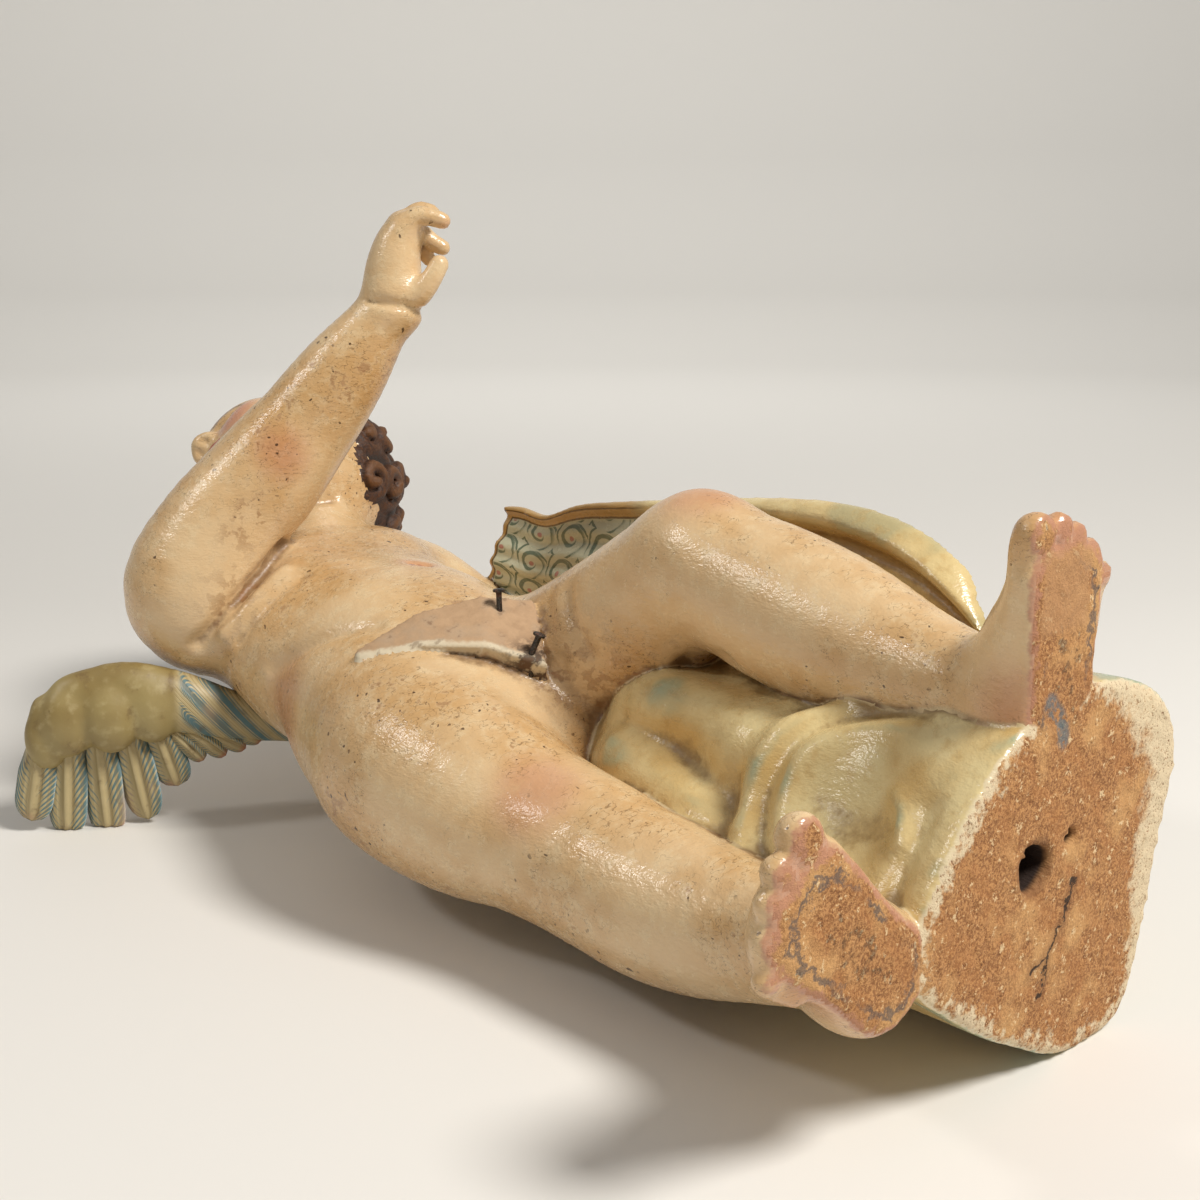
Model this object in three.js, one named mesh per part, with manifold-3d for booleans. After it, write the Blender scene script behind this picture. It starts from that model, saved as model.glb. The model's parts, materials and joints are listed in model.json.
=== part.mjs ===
// Carved and painted wooden cherub, about half a metre tall, lying on its back with its sawn base to +X.
// Lengths are in millimetres. X runs from head to feet, Y to the figure's left and Z up from the ground.

import * as THREE from 'three';
import { mergeVertices } from 'three/addons/utils/BufferGeometryUtils.js';
import Module from 'manifold-3d';

// Driving sizes
const SOLE = 250; // the plane of the saw cut, through both soles and the base block
const FOOT_LENGTH = 74;
const PEG_HOLE = { y: -34, z: 69, radius: 6.5, depth: 30 };
const PILOT_HOLE = { y: -16, z: 74, radius: 2, depth: 12 };
const NAIL = { shank: 1.1, head: 2.3, headHeight: 1.2, sunk: 12, mouth: 3, clearance: 0.3 };
const SEAM = 0.3; // clearance round a wing's root in the back
const END_SIZE = 0.6; // the share of a limb's girth at its rounded ends
const LEFT = new THREE.Vector3(0, 1, 0);
const UP = new THREE.Vector3(0, 0, 1);

// Each station of a limb is [x, y, z, half width, half depth]
const TORSO = [
  [52, -62, 54, 40, 26],
  [24, -62, 58, 58, 42],
  [-8, -62, 63, 60, 45],
  [-40, -60, 68, 56, 44],
  [-75, -58, 71, 60, 44],
  [-105, -55, 77, 62, 41],
  [-130, -50, 84, 56, 35],
  [-148, -44, 94, 34, 27],
];
const NECK = [
  [-130, -46, 92, 27, 25],
  [-152, -38, 102, 24, 23],
  [-175, -30, 114, 25, 24],
];
const RIGHT_THIGH = [
  [-8, -90, 58, 36, 40],
  [24, -99, 57, 38, 40],
  [58, -98, 52, 35, 37],
  [92, -93, 47, 28, 29],
  [116, -90, 45, 24, 25],
];
const RIGHT_SHIN = [
  [100, -90, 44, 24, 26],
  [138, -88, 40, 26, 27],
  [165, -87, 40, 24, 25],
  [195, -89, 45, 19, 20],
  [218, -94, 51, 16, 17],
  [236, -96, 54, 16, 17],
];
const LEFT_THIGH = [
  [0, -28, 66, 33, 35],
  [30, -24, 80, 35, 36],
  [60, -23, 100, 31, 34],
  [86, -24, 123, 26, 28],
  [102, -24, 137, 22, 23],
];
const LEFT_SHIN = [
  [97, -24, 134, 23, 23],
  [128, -21, 126, 26, 27],
  [160, -19, 119, 25, 26],
  [190, -20, 114, 20, 21],
  [215, -23, 113, 17, 17],
  [236, -25, 113, 16, 16],
];
const RIGHT_UPPER_ARM = [
  [-118, -88, 82, 28, 30],
  [-124, -115, 96, 31, 33],
  [-119, -105, 124, 27, 27],
  [-111, -88, 148, 23, 23],
  [-108, -81, 157, 20, 21],
];
const RIGHT_FOREARM = [
  [-112, -86, 146, 22, 22],
  [-104, -70, 169, 22, 21],
  [-95, -56, 191, 19, 19],
  [-86, -44, 211, 14, 14],
  [-80, -37, 224, 12, 12],
];
const LEFT_UPPER_ARM = [
  [-124, -16, 84, 28, 27],
  [-122, 0, 78, 27, 26],
  [-104, 18, 62, 24, 23],
  [-84, 24, 50, 20, 20],
];
const LEFT_FOREARM = [
  [-88, 24, 52, 21, 20],
  [-66, 26, 52, 20, 19],
  [-44, 24, 58, 15, 15],
  [-28, 22, 64, 12, 12],
];
const HIP = { centre: [-26, -96, 62], radii: [34, 26, 32] };
const HEAD = {
  centre: [-201, -24, 127],
  face: [-0.3, -0.82, 0.48],
  crown: [-0.92, 0.38, 0.08],
  radii: [43, 48, 53],
};
const BASE_OUTLINE = [
  [-86, 49], [-70, 33], [-47, 18], [-18, 3], [6, 0], [22, 5], [31, 30],
  [37, 62], [42, 90], [28, 110], [-8, 120], [-44, 112], [-70, 90], [-84, 70],
];

const CLOTH = {
  middle: [-22, 60],
  top: [-18, 50, 48, 46],
  bowl: [182, -62, 84],
  bowlRadius: 34,
  bowlDepth: 11,
  fold: 3,
};
const LOIN_PROUD = 3; // how far the seat stands over the belly and thigh
const LOIN_SEAT = [
  [[4, -112, 94], [8, -113, 92], 12],
  [[10, -88, 106], [26, -94, 98], 14],
  [[20, -66, 111], [42, -78, 98], 16],
  [[30, -48, 109], [58, -63, 91], 18],
];
const WING = {
  arm: [[-14, 2, 9, 8], [4, 0, 9, 8], [25, -4, 11, 9], [50, -12, 14, 10], [73, -13, 17, 10], [98, -4, 14, 8]],
  rows: [
    { count: 6, from: 0.38, length: 1, wide: 8, thick: 2.4, face: 0 },
    { count: 2, from: 0.6, length: 0.5, wide: 18, thick: 4, face: 4 },
    { count: 2, from: 0.6, length: 0.5, wide: 18, thick: 4, face: -4 },
  ],
  innerTip: [38, 12],
  outerTip: [112, 24],
  tipBulge: 31,
};
const RIGHT_WING = { root: [-88, -93, 43], span: [-0.47, -0.88, 0], chord: [0, 0, -1] };
const LEFT_WING = { root: [-84, -22, 30], span: [-0.5, 0.85, -0.05], chord: [0.75, 0.36, -0.55] };
const NAIL_UPRIGHT = { foot: [31, -64, 107.5], lean: [-0.08, 0.02, 1], stands: 9.5 };
const NAIL_BENT = { foot: [53, -66, 97.5], lean: [0.25, 0.3, 0.92], stands: 7.5 };

const wasm = await Module();
wasm.setup();

// A closed mesh becomes a solid that can be joined and cut
function toSolid(geometry) {
  const bare = geometry.clone();
  bare.deleteAttribute('normal');
  bare.deleteAttribute('uv');
  const merged = mergeVertices(bare, 1e-4);
  const corners = merged.index.array;
  const kept = [];
  for (let i = 0; i < corners.length; i += 3) {
    const [a, b, c] = [corners[i], corners[i + 1], corners[i + 2]];
    if (a !== b && b !== c && c !== a) kept.push(a, b, c);
  }
  const vertProperties = new Float32Array(merged.attributes.position.array);
  return new wasm.Manifold(new wasm.Mesh({ numProp: 3, vertProperties, triVerts: new Uint32Array(kept) }));
}

function toGeometry(solid) {
  const mesh = solid.getMesh();
  const geometry = new THREE.BufferGeometry();
  geometry.setAttribute('position', new THREE.BufferAttribute(mesh.vertProperties, 3));
  geometry.setIndex(new THREE.BufferAttribute(mesh.triVerts, 1));
  geometry.computeVertexNormals();
  return geometry;
}

const join = (solids) => solids.reduce((whole, solid) => whole.add(solid));
const vector = (point) => new THREE.Vector3(...point);

// Skins a row of rings, each with the same number of points, and closes both ends with a fan
function loft(rings) {
  const sides = rings[0].length;
  const points = rings.flat();
  const middle = (ring) => ring.reduce((sum, p) => sum.add(p), new THREE.Vector3()).divideScalar(sides);
  const first = points.push(middle(rings[0])) - 1;
  const last = points.push(middle(rings.at(-1))) - 1;
  const index = [];
  for (let j = 0; j < sides; j += 1) {
    const next = (j + 1) % sides;
    for (let i = 0; i < rings.length - 1; i += 1) {
      const [a, b] = [i * sides + j, i * sides + next];
      index.push(a, b, b + sides, a, b + sides, a + sides);
    }
    const top = (rings.length - 1) * sides;
    index.push(first, next, j, last, top + j, top + next);
  }
  const geometry = new THREE.BufferGeometry().setFromPoints(points);
  geometry.setIndex(index);
  return toSolid(geometry);
}

// A rounded limb through its stations; side points across its width
function limb(stations, side = LEFT, sides = 10, stepsPerStation = 1, grow = 0) {
  const line = new THREE.CatmullRomCurve3(stations.map((s) => vector(s.slice(0, 3))), false, 'centripetal');
  const girth = new THREE.CatmullRomCurve3(stations.map((s) => new THREE.Vector3(s[3] + grow, s[4] + grow, 0)));
  const steps = (stations.length - 1) * stepsPerStation;
  const rings = [];
  const addRing = (t, shift, scale) => {
    const along = line.getTangent(t);
    const across = side.clone().addScaledVector(along, -side.dot(along)).normalize();
    const through = along.clone().cross(across);
    const size = girth.getPoint(t);
    const centre = line.getPoint(t).addScaledVector(along, shift * Math.min(size.x, size.y));
    const ring = [];
    for (let j = 0; j < sides; j += 1) {
      const angle = (2 * Math.PI * j) / sides;
      ring.push(centre.clone()
        .addScaledVector(across, size.x * scale * Math.cos(angle))
        .addScaledVector(through, size.y * scale * Math.sin(angle)));
    }
    rings.push(ring);
  };
  const dome = Math.sqrt(1 - END_SIZE * END_SIZE);
  addRing(0, -dome, END_SIZE);
  for (let i = 0; i <= steps; i += 1) addRing(i / steps, 0, 1);
  addRing(1, dome, END_SIZE);
  return loft(rings);
}

// An egg-shaped lump with its three half sizes along the axes of a frame
function lump(centre, radii, axes, columns = 7, rows = 5) {
  const geometry = new THREE.SphereGeometry(1, columns, rows);
  const place = new THREE.Matrix4().makeBasis(...axes).setPosition(centre);
  geometry.scale(...radii).applyMatrix4(place);
  return toSolid(geometry);
}

function block(size, centre) {
  return toSolid(new THREE.BoxGeometry(...size).translate(...centre));
}

// A straight round bar between two points
function bar(from, to, radius, sides = 12) {
  const along = to.clone().sub(from);
  const geometry = new THREE.CylinderGeometry(radius, radius, along.length(), sides);
  const turn = new THREE.Quaternion().setFromUnitVectors(LEFT, along.clone().normalize());
  geometry.applyQuaternion(turn).translate(...from.clone().add(to).divideScalar(2));
  return toSolid(geometry);
}

// A sheet of carved cloth of even thickness over a surface of two parameters from 0 to 1
function sheet(surface, columns, rows, thickness) {
  const rings = [];
  const at = (u, v) => vector(surface(u, v));
  for (let i = 0; i <= columns; i += 1) {
    const u = i / columns;
    const front = [];
    const back = [];
    for (let j = 0; j <= rows; j += 1) {
      const v = j / rows;
      const du = at(u + 0.01, v).sub(at(u - 0.01, v));
      const dv = at(u, v + 0.01).sub(at(u, v - 0.01));
      const normal = du.cross(dv).normalize().multiplyScalar(thickness / 2);
      front.push(at(u, v).sub(normal));
      back.unshift(at(u, v).add(normal));
    }
    rings.push([...front, ...back]);
  }
  return loft(rings);
}

// A chubby foot: heel and toes given on the plane of the soles, the big toe on the inner side
function foot(heel, toes, inner) {
  const forward = new THREE.Vector3(0, ...toes).normalize();
  const inward = new THREE.Vector3(0, ...inner).normalize();
  const start = new THREE.Vector3(SOLE, ...heel);
  const place = (ahead, aside, lift) => start.clone()
    .addScaledVector(forward, ahead)
    .addScaledVector(inward, aside)
    .add(new THREE.Vector3(-lift, 0, 0))
    .toArray();
  const solids = [limb([
    [...place(12, 0, 10), 17, 18],
    [...place(26, 0, 9), 17, 20],
    [...place(42, 0, 6), 18, 15],
    [...place(56, 0, 5), 19, 9],
  ], inward, 10)];
  for (let toe = 0; toe < 5; toe += 1) {
    const radius = toe === 0 ? 6.5 : 5 - 0.3 * toe;
    const aside = 13 - (toe === 0 ? 0 : 2.5 + 7.6 * toe);
    const reach = FOOT_LENGTH - radius - 1.1 * toe * toe;
    solids.push(limb([
      [...place(reach - 15, aside * 0.9, 5), radius, radius],
      [...place(reach, aside, 4), radius, radius],
    ], inward, 5));
  }
  return join(solids);
}

// The raised right hand, curled as if round a stem: er points out of the palm, eu along the forearm
function rightHand(wrist) {
  const er = new THREE.Vector3(0.64, 0.77, 0).normalize();
  const eu = new THREE.Vector3(-0.04, 0.1, 0.99).normalize();
  const deep = er.clone().cross(eu).negate();
  const place = (right, up, far) => wrist.clone()
    .addScaledVector(er, right).addScaledVector(eu, up).addScaledVector(deep, far).toArray();
  const solids = [limb([
    [...place(0, -2, 0), 12, 12],
    [...place(0, 10, 1), 13, 9],
    [...place(1, 22, 2), 14, 7],
    [...place(3, 32, 3), 12, 6],
  ], deep, 8)];
  for (let finger = 0; finger < 4; finger += 1) {
    const far = -7 + 7 * finger;
    const drop = 3.6 * finger;
    solids.push(limb([
      [...place(3, 31 - drop * 0.4, far), 4, 4],
      [...place(10, 38 - drop, far), 3.8, 3.8],
      [...place(20, 36 - drop * 1.3, far), 3, 3],
    ], deep, 5));
  }
  solids.push(limb([
    [...place(5, 4, -6), 6, 6],
    [...place(13, 10, -7), 4.6, 4.6],
    [...place(17, 19, -5), 3.2, 3.2],
  ], deep, 5));
  return join(solids);
}

// The left hand lies against the cloth at the hip
function leftHand(wrist) {
  const solids = [limb([
    [...wrist, 12, 11],
    [wrist[0] + 12, wrist[1] + 2, wrist[2] + 5, 13, 8],
    [wrist[0] + 24, wrist[1] + 6, wrist[2] + 10, 12, 6],
  ], UP, 8)];
  for (let finger = 0; finger < 4; finger += 1) {
    const rise = 17 - 6.5 * finger;
    solids.push(limb([
      [wrist[0] + 22, wrist[1] + 6, wrist[2] + rise, 4, 4],
      [wrist[0] + 41, wrist[1] + 15, wrist[2] + rise + 2, 3, 3],
    ], UP, 5));
  }
  return join(solids);
}

// The head in a frame of its own: side, face and crown
function head() {
  const centre = vector(HEAD.centre);
  const face = vector(HEAD.face).normalize();
  const crown = vector(HEAD.crown).addScaledVector(face, -vector(HEAD.crown).dot(face)).normalize();
  const side = face.clone().cross(crown);
  const axes = [side, face, crown];
  const place = (aside, ahead, high) => centre.clone()
    .addScaledVector(side, aside).addScaledVector(face, ahead).addScaledVector(crown, high);
  const solids = [
    lump(centre, HEAD.radii, axes, 12, 8),
    lump(place(0, 22, -20), [34, 27, 30], axes, 8, 6),
    lump(place(0, 41, -38), [13, 10, 10], axes),
    lump(place(0, 47, -28), [10, 5, 6], axes),
    limb([
      [...place(0, 46, 4), 4, 3.5],
      [...place(0, 51, -5), 4.5, 4.5],
      [...place(0, 54, -13), 7, 5.5],
    ], side, 6),
  ];
  for (const hand of [-1, 1]) {
    solids.push(lump(place(20 * hand, 34, -18), [16, 14, 16], axes));
    solids.push(lump(place(16 * hand, 42, -1), [9, 5, 5.5], axes));
    solids.push(lump(place(46 * hand, -2, -12), [5, 9, 13], axes));
  }
  const rows = [[56, 3], [22, 5], [-12, 5]];
  for (const [row, [tilt, count]] of rows.entries()) {
    const lift = THREE.MathUtils.degToRad(tilt);
    for (let k = 0; k < count; k += 1) {
      const spread = row < 2 ? 1.75 * Math.PI : 1.2 * Math.PI;
      const turn = spread * ((k + 0.5 * (row % 2)) / (count - 0.5) - 0.5);
      const lock = [0, 0.5, 1].map((step) => {
        const round = turn + 0.3 * (step - 0.5) * (row % 2 ? -1 : 1);
        const rise = lift - 0.5 * step + 0.25;
        const out = 1.04 + 0.07 * Math.sin(Math.PI * step);
        return [...place(
          HEAD.radii[0] * out * Math.cos(rise) * Math.sin(round),
          -HEAD.radii[1] * out * Math.cos(rise) * Math.cos(round),
          HEAD.radii[2] * out * Math.sin(rise),
        ), 16 - 6 * Math.abs(step - 0.4), 9 - 2 * step];
      });
      solids.push(limb(lock, side, 5));
    }
  }
  return join(solids);
}

// The folded cloth behind and between the legs runs from the base outline up under the seat
function clothMass() {
  const outline = new THREE.CatmullRomCurve3(
    BASE_OUTLINE.map(([y, z]) => new THREE.Vector3(0, y, z)), true, 'centripetal');
  const [sides, levels] = [22, 8];
  const [low, high] = [SOLE + 6, 44];
  const rings = [];
  for (let i = 0; i <= levels; i += 1) {
    const t = i / levels;
    const x = low + (high - low) * t;
    const ease = THREE.MathUtils.smoothstep(t, 0.02, 0.75);
    const narrow = 1 - 0.4 * THREE.MathUtils.smoothstep(t, 0.7, 1);
    const ring = [];
    for (let j = 0; j < sides; j += 1) {
      const p = outline.getPoint(j / sides);
      const angle = Math.atan2(p.z - CLOTH.middle[1], p.y - CLOTH.middle[0]);
      const [y, z, wide, deep] = CLOTH.top;
      const upper = new THREE.Vector3(0, y + wide * narrow * Math.cos(angle), z + deep * narrow * Math.sin(angle));
      p.lerp(upper, ease);
      const apart = Math.hypot(x - CLOTH.bowl[0], p.y - CLOTH.bowl[1], p.z - CLOTH.bowl[2]) / CLOTH.bowlRadius;
      const hollow = -CLOTH.bowlDepth * Math.exp(-apart * apart * 1.4) * (1 - 0.35 * Math.cos(9 * apart));
      const fold = CLOTH.fold * Math.sin(8 * angle + 5 * t) * Math.sin(Math.PI * t);
      const out = hollow + fold;
      ring.unshift(new THREE.Vector3(x, p.y + out * Math.cos(angle), p.z + out * Math.sin(angle)));
    }
    rings.push(ring);
  }
  return loft(rings);
}

// The cloth that flies along the figure's left side, with long pleats and a free corner at the chest
function clothWing() {
  const surface = (u, v) => {
    const round = 26 * Math.sqrt(Math.max(0, 1 - (2 * v - 1) ** 2)) * u;
    const x = -112 + 278 * u + round;
    const top = 121 + 41 * u - 27 * u ** 8;
    const low = 74 - 26 * u;
    const pleat = (2.5 + 4 * u) * Math.sin(10 * v + 2.5 * u + 0.6);
    const tuck = 40 * (1 - v) ** 2 * THREE.MathUtils.smoothstep(u, 0.12, 0.4);
    const lean = 34 + 10 * Math.sin(Math.PI * u) + 8 * (v - 0.5) - tuck;
    return [x, lean + pleat, low + (top - low) * v];
  };
  return sheet(surface, 10, 6, 7);
}

// The bare seat of the lost loincloth: a flat wedge from the right hip to the crotch
function loinSeat() {
  const rings = LOIN_SEAT.map(([upper, lower, depth]) => {
    const inward = new THREE.Vector3(-0.45, 0.25, -0.86);
    const [a, b] = [upper, lower].map((point) => vector(point).addScaledVector(inward, -LOIN_PROUD));
    return [a, b, b.clone().addScaledVector(inward, depth), a.clone().addScaledVector(inward, depth)];
  });
  return loft(rings);
}

// A wing in a frame of its own: span outwards from the root, chord along the feathers, face through them
const wingPoint = (span, chord, face = 0) => new THREE.Vector3(span, chord, face);

function wingArm(grow = 0) {
  const face = wingPoint(0, 0, 1);
  return limb(WING.arm.map(([span, chord, wide, thick]) => [span, chord, 0, thick, wide]), face, 8, 1, grow);
}

// Broad flight feathers fan from the arm, with shorter coverts over both faces
function wing() {
  const solids = [wingArm()];
  const arm = new THREE.CatmullRomCurve3(WING.arm.map(([span, chord]) => wingPoint(span, chord)));
  for (const { count, from, length, wide, thick, face } of WING.rows) {
    for (let k = 0; k < count; k += 1) {
      const q = k / (count - 1);
      const root = arm.getPoint(from + (1 - from) * q);
      const bulge = WING.tipBulge * Math.sin(Math.PI * q ** 1.2);
      const tip = wingPoint(
        THREE.MathUtils.lerp(WING.innerTip[0], WING.outerTip[0], q),
        THREE.MathUtils.lerp(WING.innerTip[1], WING.outerTip[1], q) + bulge);
      const reach = tip.sub(root);
      const across = new THREE.Vector3(reach.y, -reach.x, 0).normalize();
      const stations = [0.1, 0.7, 1].map((step) => {
        const p = root.clone().addScaledVector(reach, step * length);
        return [p.x, p.y, face, step > 0.9 ? wide * 0.55 : wide, thick];
      });
      solids.push(limb(stations, across, 5));
    }
  }
  return join(solids);
}

// Turns a wing solid from its own frame into its place on the back
function onBack(solid, { root, span, chord }) {
  const outward = vector(span).normalize();
  const along = vector(chord).addScaledVector(outward, -vector(chord).dot(outward)).normalize();
  const place = new THREE.Matrix4().makeBasis(outward, along, outward.clone().cross(along)).setPosition(...root);
  return solid.transform(place.toArray());
}

// A round nail: the shank goes into the wood from its foot, and bends over above it where it has a lean
function nailPath({ foot, lean, stands }) {
  const start = vector(foot);
  const tip = start.clone().addScaledVector(UP, -NAIL.sunk);
  const top = start.clone().addScaledVector(vector(lean).normalize(), stands);
  return { start, tip, top };
}

function nail(which) {
  const { start, tip, top } = nailPath(which);
  const along = top.clone().sub(start).normalize();
  const cap = top.clone().addScaledVector(along, NAIL.headHeight);
  const under = top.clone().addScaledVector(along, -NAIL.headHeight / 4);
  const elbow = lump(start, [NAIL.shank, NAIL.shank, NAIL.shank], [LEFT, UP, LEFT.clone().cross(UP)], 6, 5);
  const shanks = [bar(tip, start, NAIL.shank, 6), bar(start, top, NAIL.shank, 6)];
  return join([...shanks, elbow, bar(under, cap, NAIL.head, 8)]);
}

function nailHole(which) {
  const { start, tip } = nailPath(which);
  const mouth = start.clone().addScaledVector(UP, NAIL.mouth);
  const end = tip.clone().addScaledVector(UP, -NAIL.clearance);
  return bar(end, mouth, NAIL.shank + NAIL.clearance, 10);
}

const ground = block([900, 900, 200], [0, 0, -100]);
const sawn = block([100, 900, 900], [SOLE + 50, 0, 0]);

function figure() {
  let solid = join([
    limb(TORSO, LEFT, 14),
    lump(vector(HIP.centre), HIP.radii, [new THREE.Vector3(1, 0, 0), LEFT, UP], 8, 6),
    limb(NECK, LEFT, 8),
    limb(RIGHT_THIGH),
    limb(RIGHT_SHIN),
    limb(LEFT_THIGH),
    limb(LEFT_SHIN),
    limb(RIGHT_UPPER_ARM),
    limb(RIGHT_FOREARM),
    limb(LEFT_UPPER_ARM, UP, 9),
    limb(LEFT_FOREARM, UP, 9),
    foot([-90, 48], [-0.74, 0.67], [0.67, 0.74]),
    foot([-25, 99], [-0.02, 1], [-1, 0]),
    rightHand(vector(RIGHT_FOREARM.at(-1).slice(0, 3))),
    leftHand(LEFT_FOREARM.at(-1).slice(0, 3)),
    head(),
    clothMass(),
    clothWing(),
    loinSeat(),
  ]);
  for (const hole of [PEG_HOLE, PILOT_HOLE]) {
    const mouth = new THREE.Vector3(SOLE + 5, hole.y, hole.z);
    const end = new THREE.Vector3(SOLE - hole.depth, hole.y, hole.z);
    solid = solid.subtract(bar(mouth, end, hole.radius));
  }
  for (const side of [RIGHT_WING, LEFT_WING]) solid = solid.subtract(onBack(wingArm(SEAM), side));
  for (const which of [NAIL_UPRIGHT, NAIL_BENT]) solid = solid.subtract(nailHole(which));
  return solid.subtract(sawn).subtract(ground);
}

const paint = (colour, roughness, metalness = 0) =>
  new THREE.MeshStandardMaterial({ color: colour, roughness, metalness });

const statue = new THREE.Group();

function addPiece(name, solid, material) {
  const mesh = new THREE.Mesh(toGeometry(solid), material);
  mesh.name = name;
  statue.add(mesh);
}

addPiece('figure', figure(), paint(0xd8b98a, 0.35));
addPiece('wing_right', onBack(wing(), RIGHT_WING).subtract(ground), paint(0xd9cf9f, 0.4));
addPiece('wing_left', onBack(wing(), LEFT_WING).subtract(ground), paint(0xd9cf9f, 0.4));

addPiece('nail_upright', nail(NAIL_UPRIGHT), paint(0x4b4c4c, 0.5, 0.9));
addPiece('nail_bent', nail(NAIL_BENT), paint(0x3f3d3a, 0.6, 0.9));

// The origin lies on the ground under the middle of the whole piece
const reach = new THREE.Box3().setFromObject(statue);
const middle = reach.getCenter(new THREE.Vector3());
statue.position.set(-middle.x, -middle.y, -reach.min.z);

export default statue;
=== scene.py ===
# %% [markdown]
# # A carved and painted cherub, lying on its back
#
# The statue is one block of wood, carved all round, primed with white gesso, painted and varnished.
# Two wings are let into its back, and two iron nails stand where a loincloth was once fixed.
# The frame holds its plain solids in metres. This lesson puts a finely carved and painted skin in their place.

# %% The frame
import json
import math

import bpy
import numpy as np
import openvdb
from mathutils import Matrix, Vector


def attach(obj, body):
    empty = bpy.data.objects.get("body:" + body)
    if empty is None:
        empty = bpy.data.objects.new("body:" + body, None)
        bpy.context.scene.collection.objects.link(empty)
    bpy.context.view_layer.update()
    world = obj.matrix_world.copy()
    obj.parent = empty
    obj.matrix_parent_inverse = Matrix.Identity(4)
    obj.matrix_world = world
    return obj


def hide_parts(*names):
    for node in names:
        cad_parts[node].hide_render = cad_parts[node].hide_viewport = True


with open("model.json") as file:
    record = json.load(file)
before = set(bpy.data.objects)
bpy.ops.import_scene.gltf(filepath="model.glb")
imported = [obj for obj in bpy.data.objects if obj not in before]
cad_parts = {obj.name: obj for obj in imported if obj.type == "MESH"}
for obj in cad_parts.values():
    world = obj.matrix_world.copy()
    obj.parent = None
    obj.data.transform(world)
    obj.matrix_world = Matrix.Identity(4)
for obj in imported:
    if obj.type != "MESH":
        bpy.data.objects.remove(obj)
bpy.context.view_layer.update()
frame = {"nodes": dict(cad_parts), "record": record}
print("solids:", sorted(frame["nodes"]))

# %% [markdown]
# ## The carver's measure
#
# Carving is easier to think about in millimetres, with the sawn base at X = 250 and the ground at Z = 0.
# The mount on the sawn base is known in both measures, so the difference between the two places is the shift
# from the carver's measure to the frame.

# %% Millimetres to the frame
BASE_MARK = np.array([250.0, 5.0, 55.0])
SHIFT = 1000 * np.array(frame["record"]["mounts"][0]["pos_m"]) - BASE_MARK
SOLE = BASE_MARK[0]


def to_frame(points):
    return (np.asarray(points) + SHIFT) / 1000


print("shift in mm:", SHIFT.round(2))

# %% [markdown]
# ## A block of wood made of distances
#
# A carved body has no seams: arm flows into shoulder, and a lock of hair into its neighbour. Sculpting from
# separate meshes would leave hard joins, so the wood is kept as a grid of distances instead. Below zero is
# wood, above it is air. Limbs and lumps are added with a soft union, and creases are pressed in along lines.

# %% The block
FAR = 30.0
LEFT = np.array([0.0, 1.0, 0.0])
UP = np.array([0.0, 0.0, 1.0])
WORLD = np.eye(3)


def unit(vector):
    vector = np.asarray(vector, float)
    return vector / np.linalg.norm(vector)


def through(stations, steps):
    """A smooth row of stations through the given ones."""
    s = np.array(stations, float)
    rows = np.vstack([2 * s[0] - s[1], s, 2 * s[-1] - s[-2]])
    t = np.linspace(0, 1, steps, endpoint=False)[:, None]
    curve = []
    for a, b, c, d in zip(rows, rows[1:], rows[2:], rows[3:]):
        curve.append(b + 0.5 * t * (c - a + t * (2 * a - 5 * b + 4 * c - d + t * (3 * (b - c) + d - a))))
    return np.vstack(curve + [s[-1:]])


def soft(a, b, blend):
    """The union of two distances, with a fillet about as wide as blend."""
    near = np.maximum(blend - np.abs(a - b), 0) / blend
    return np.minimum(a, b) - near * near * blend / 4


def rise(value, low, high):
    t = np.clip((value - low) / (high - low), 0, 1)
    return t * t * (3 - 2 * t)


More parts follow.
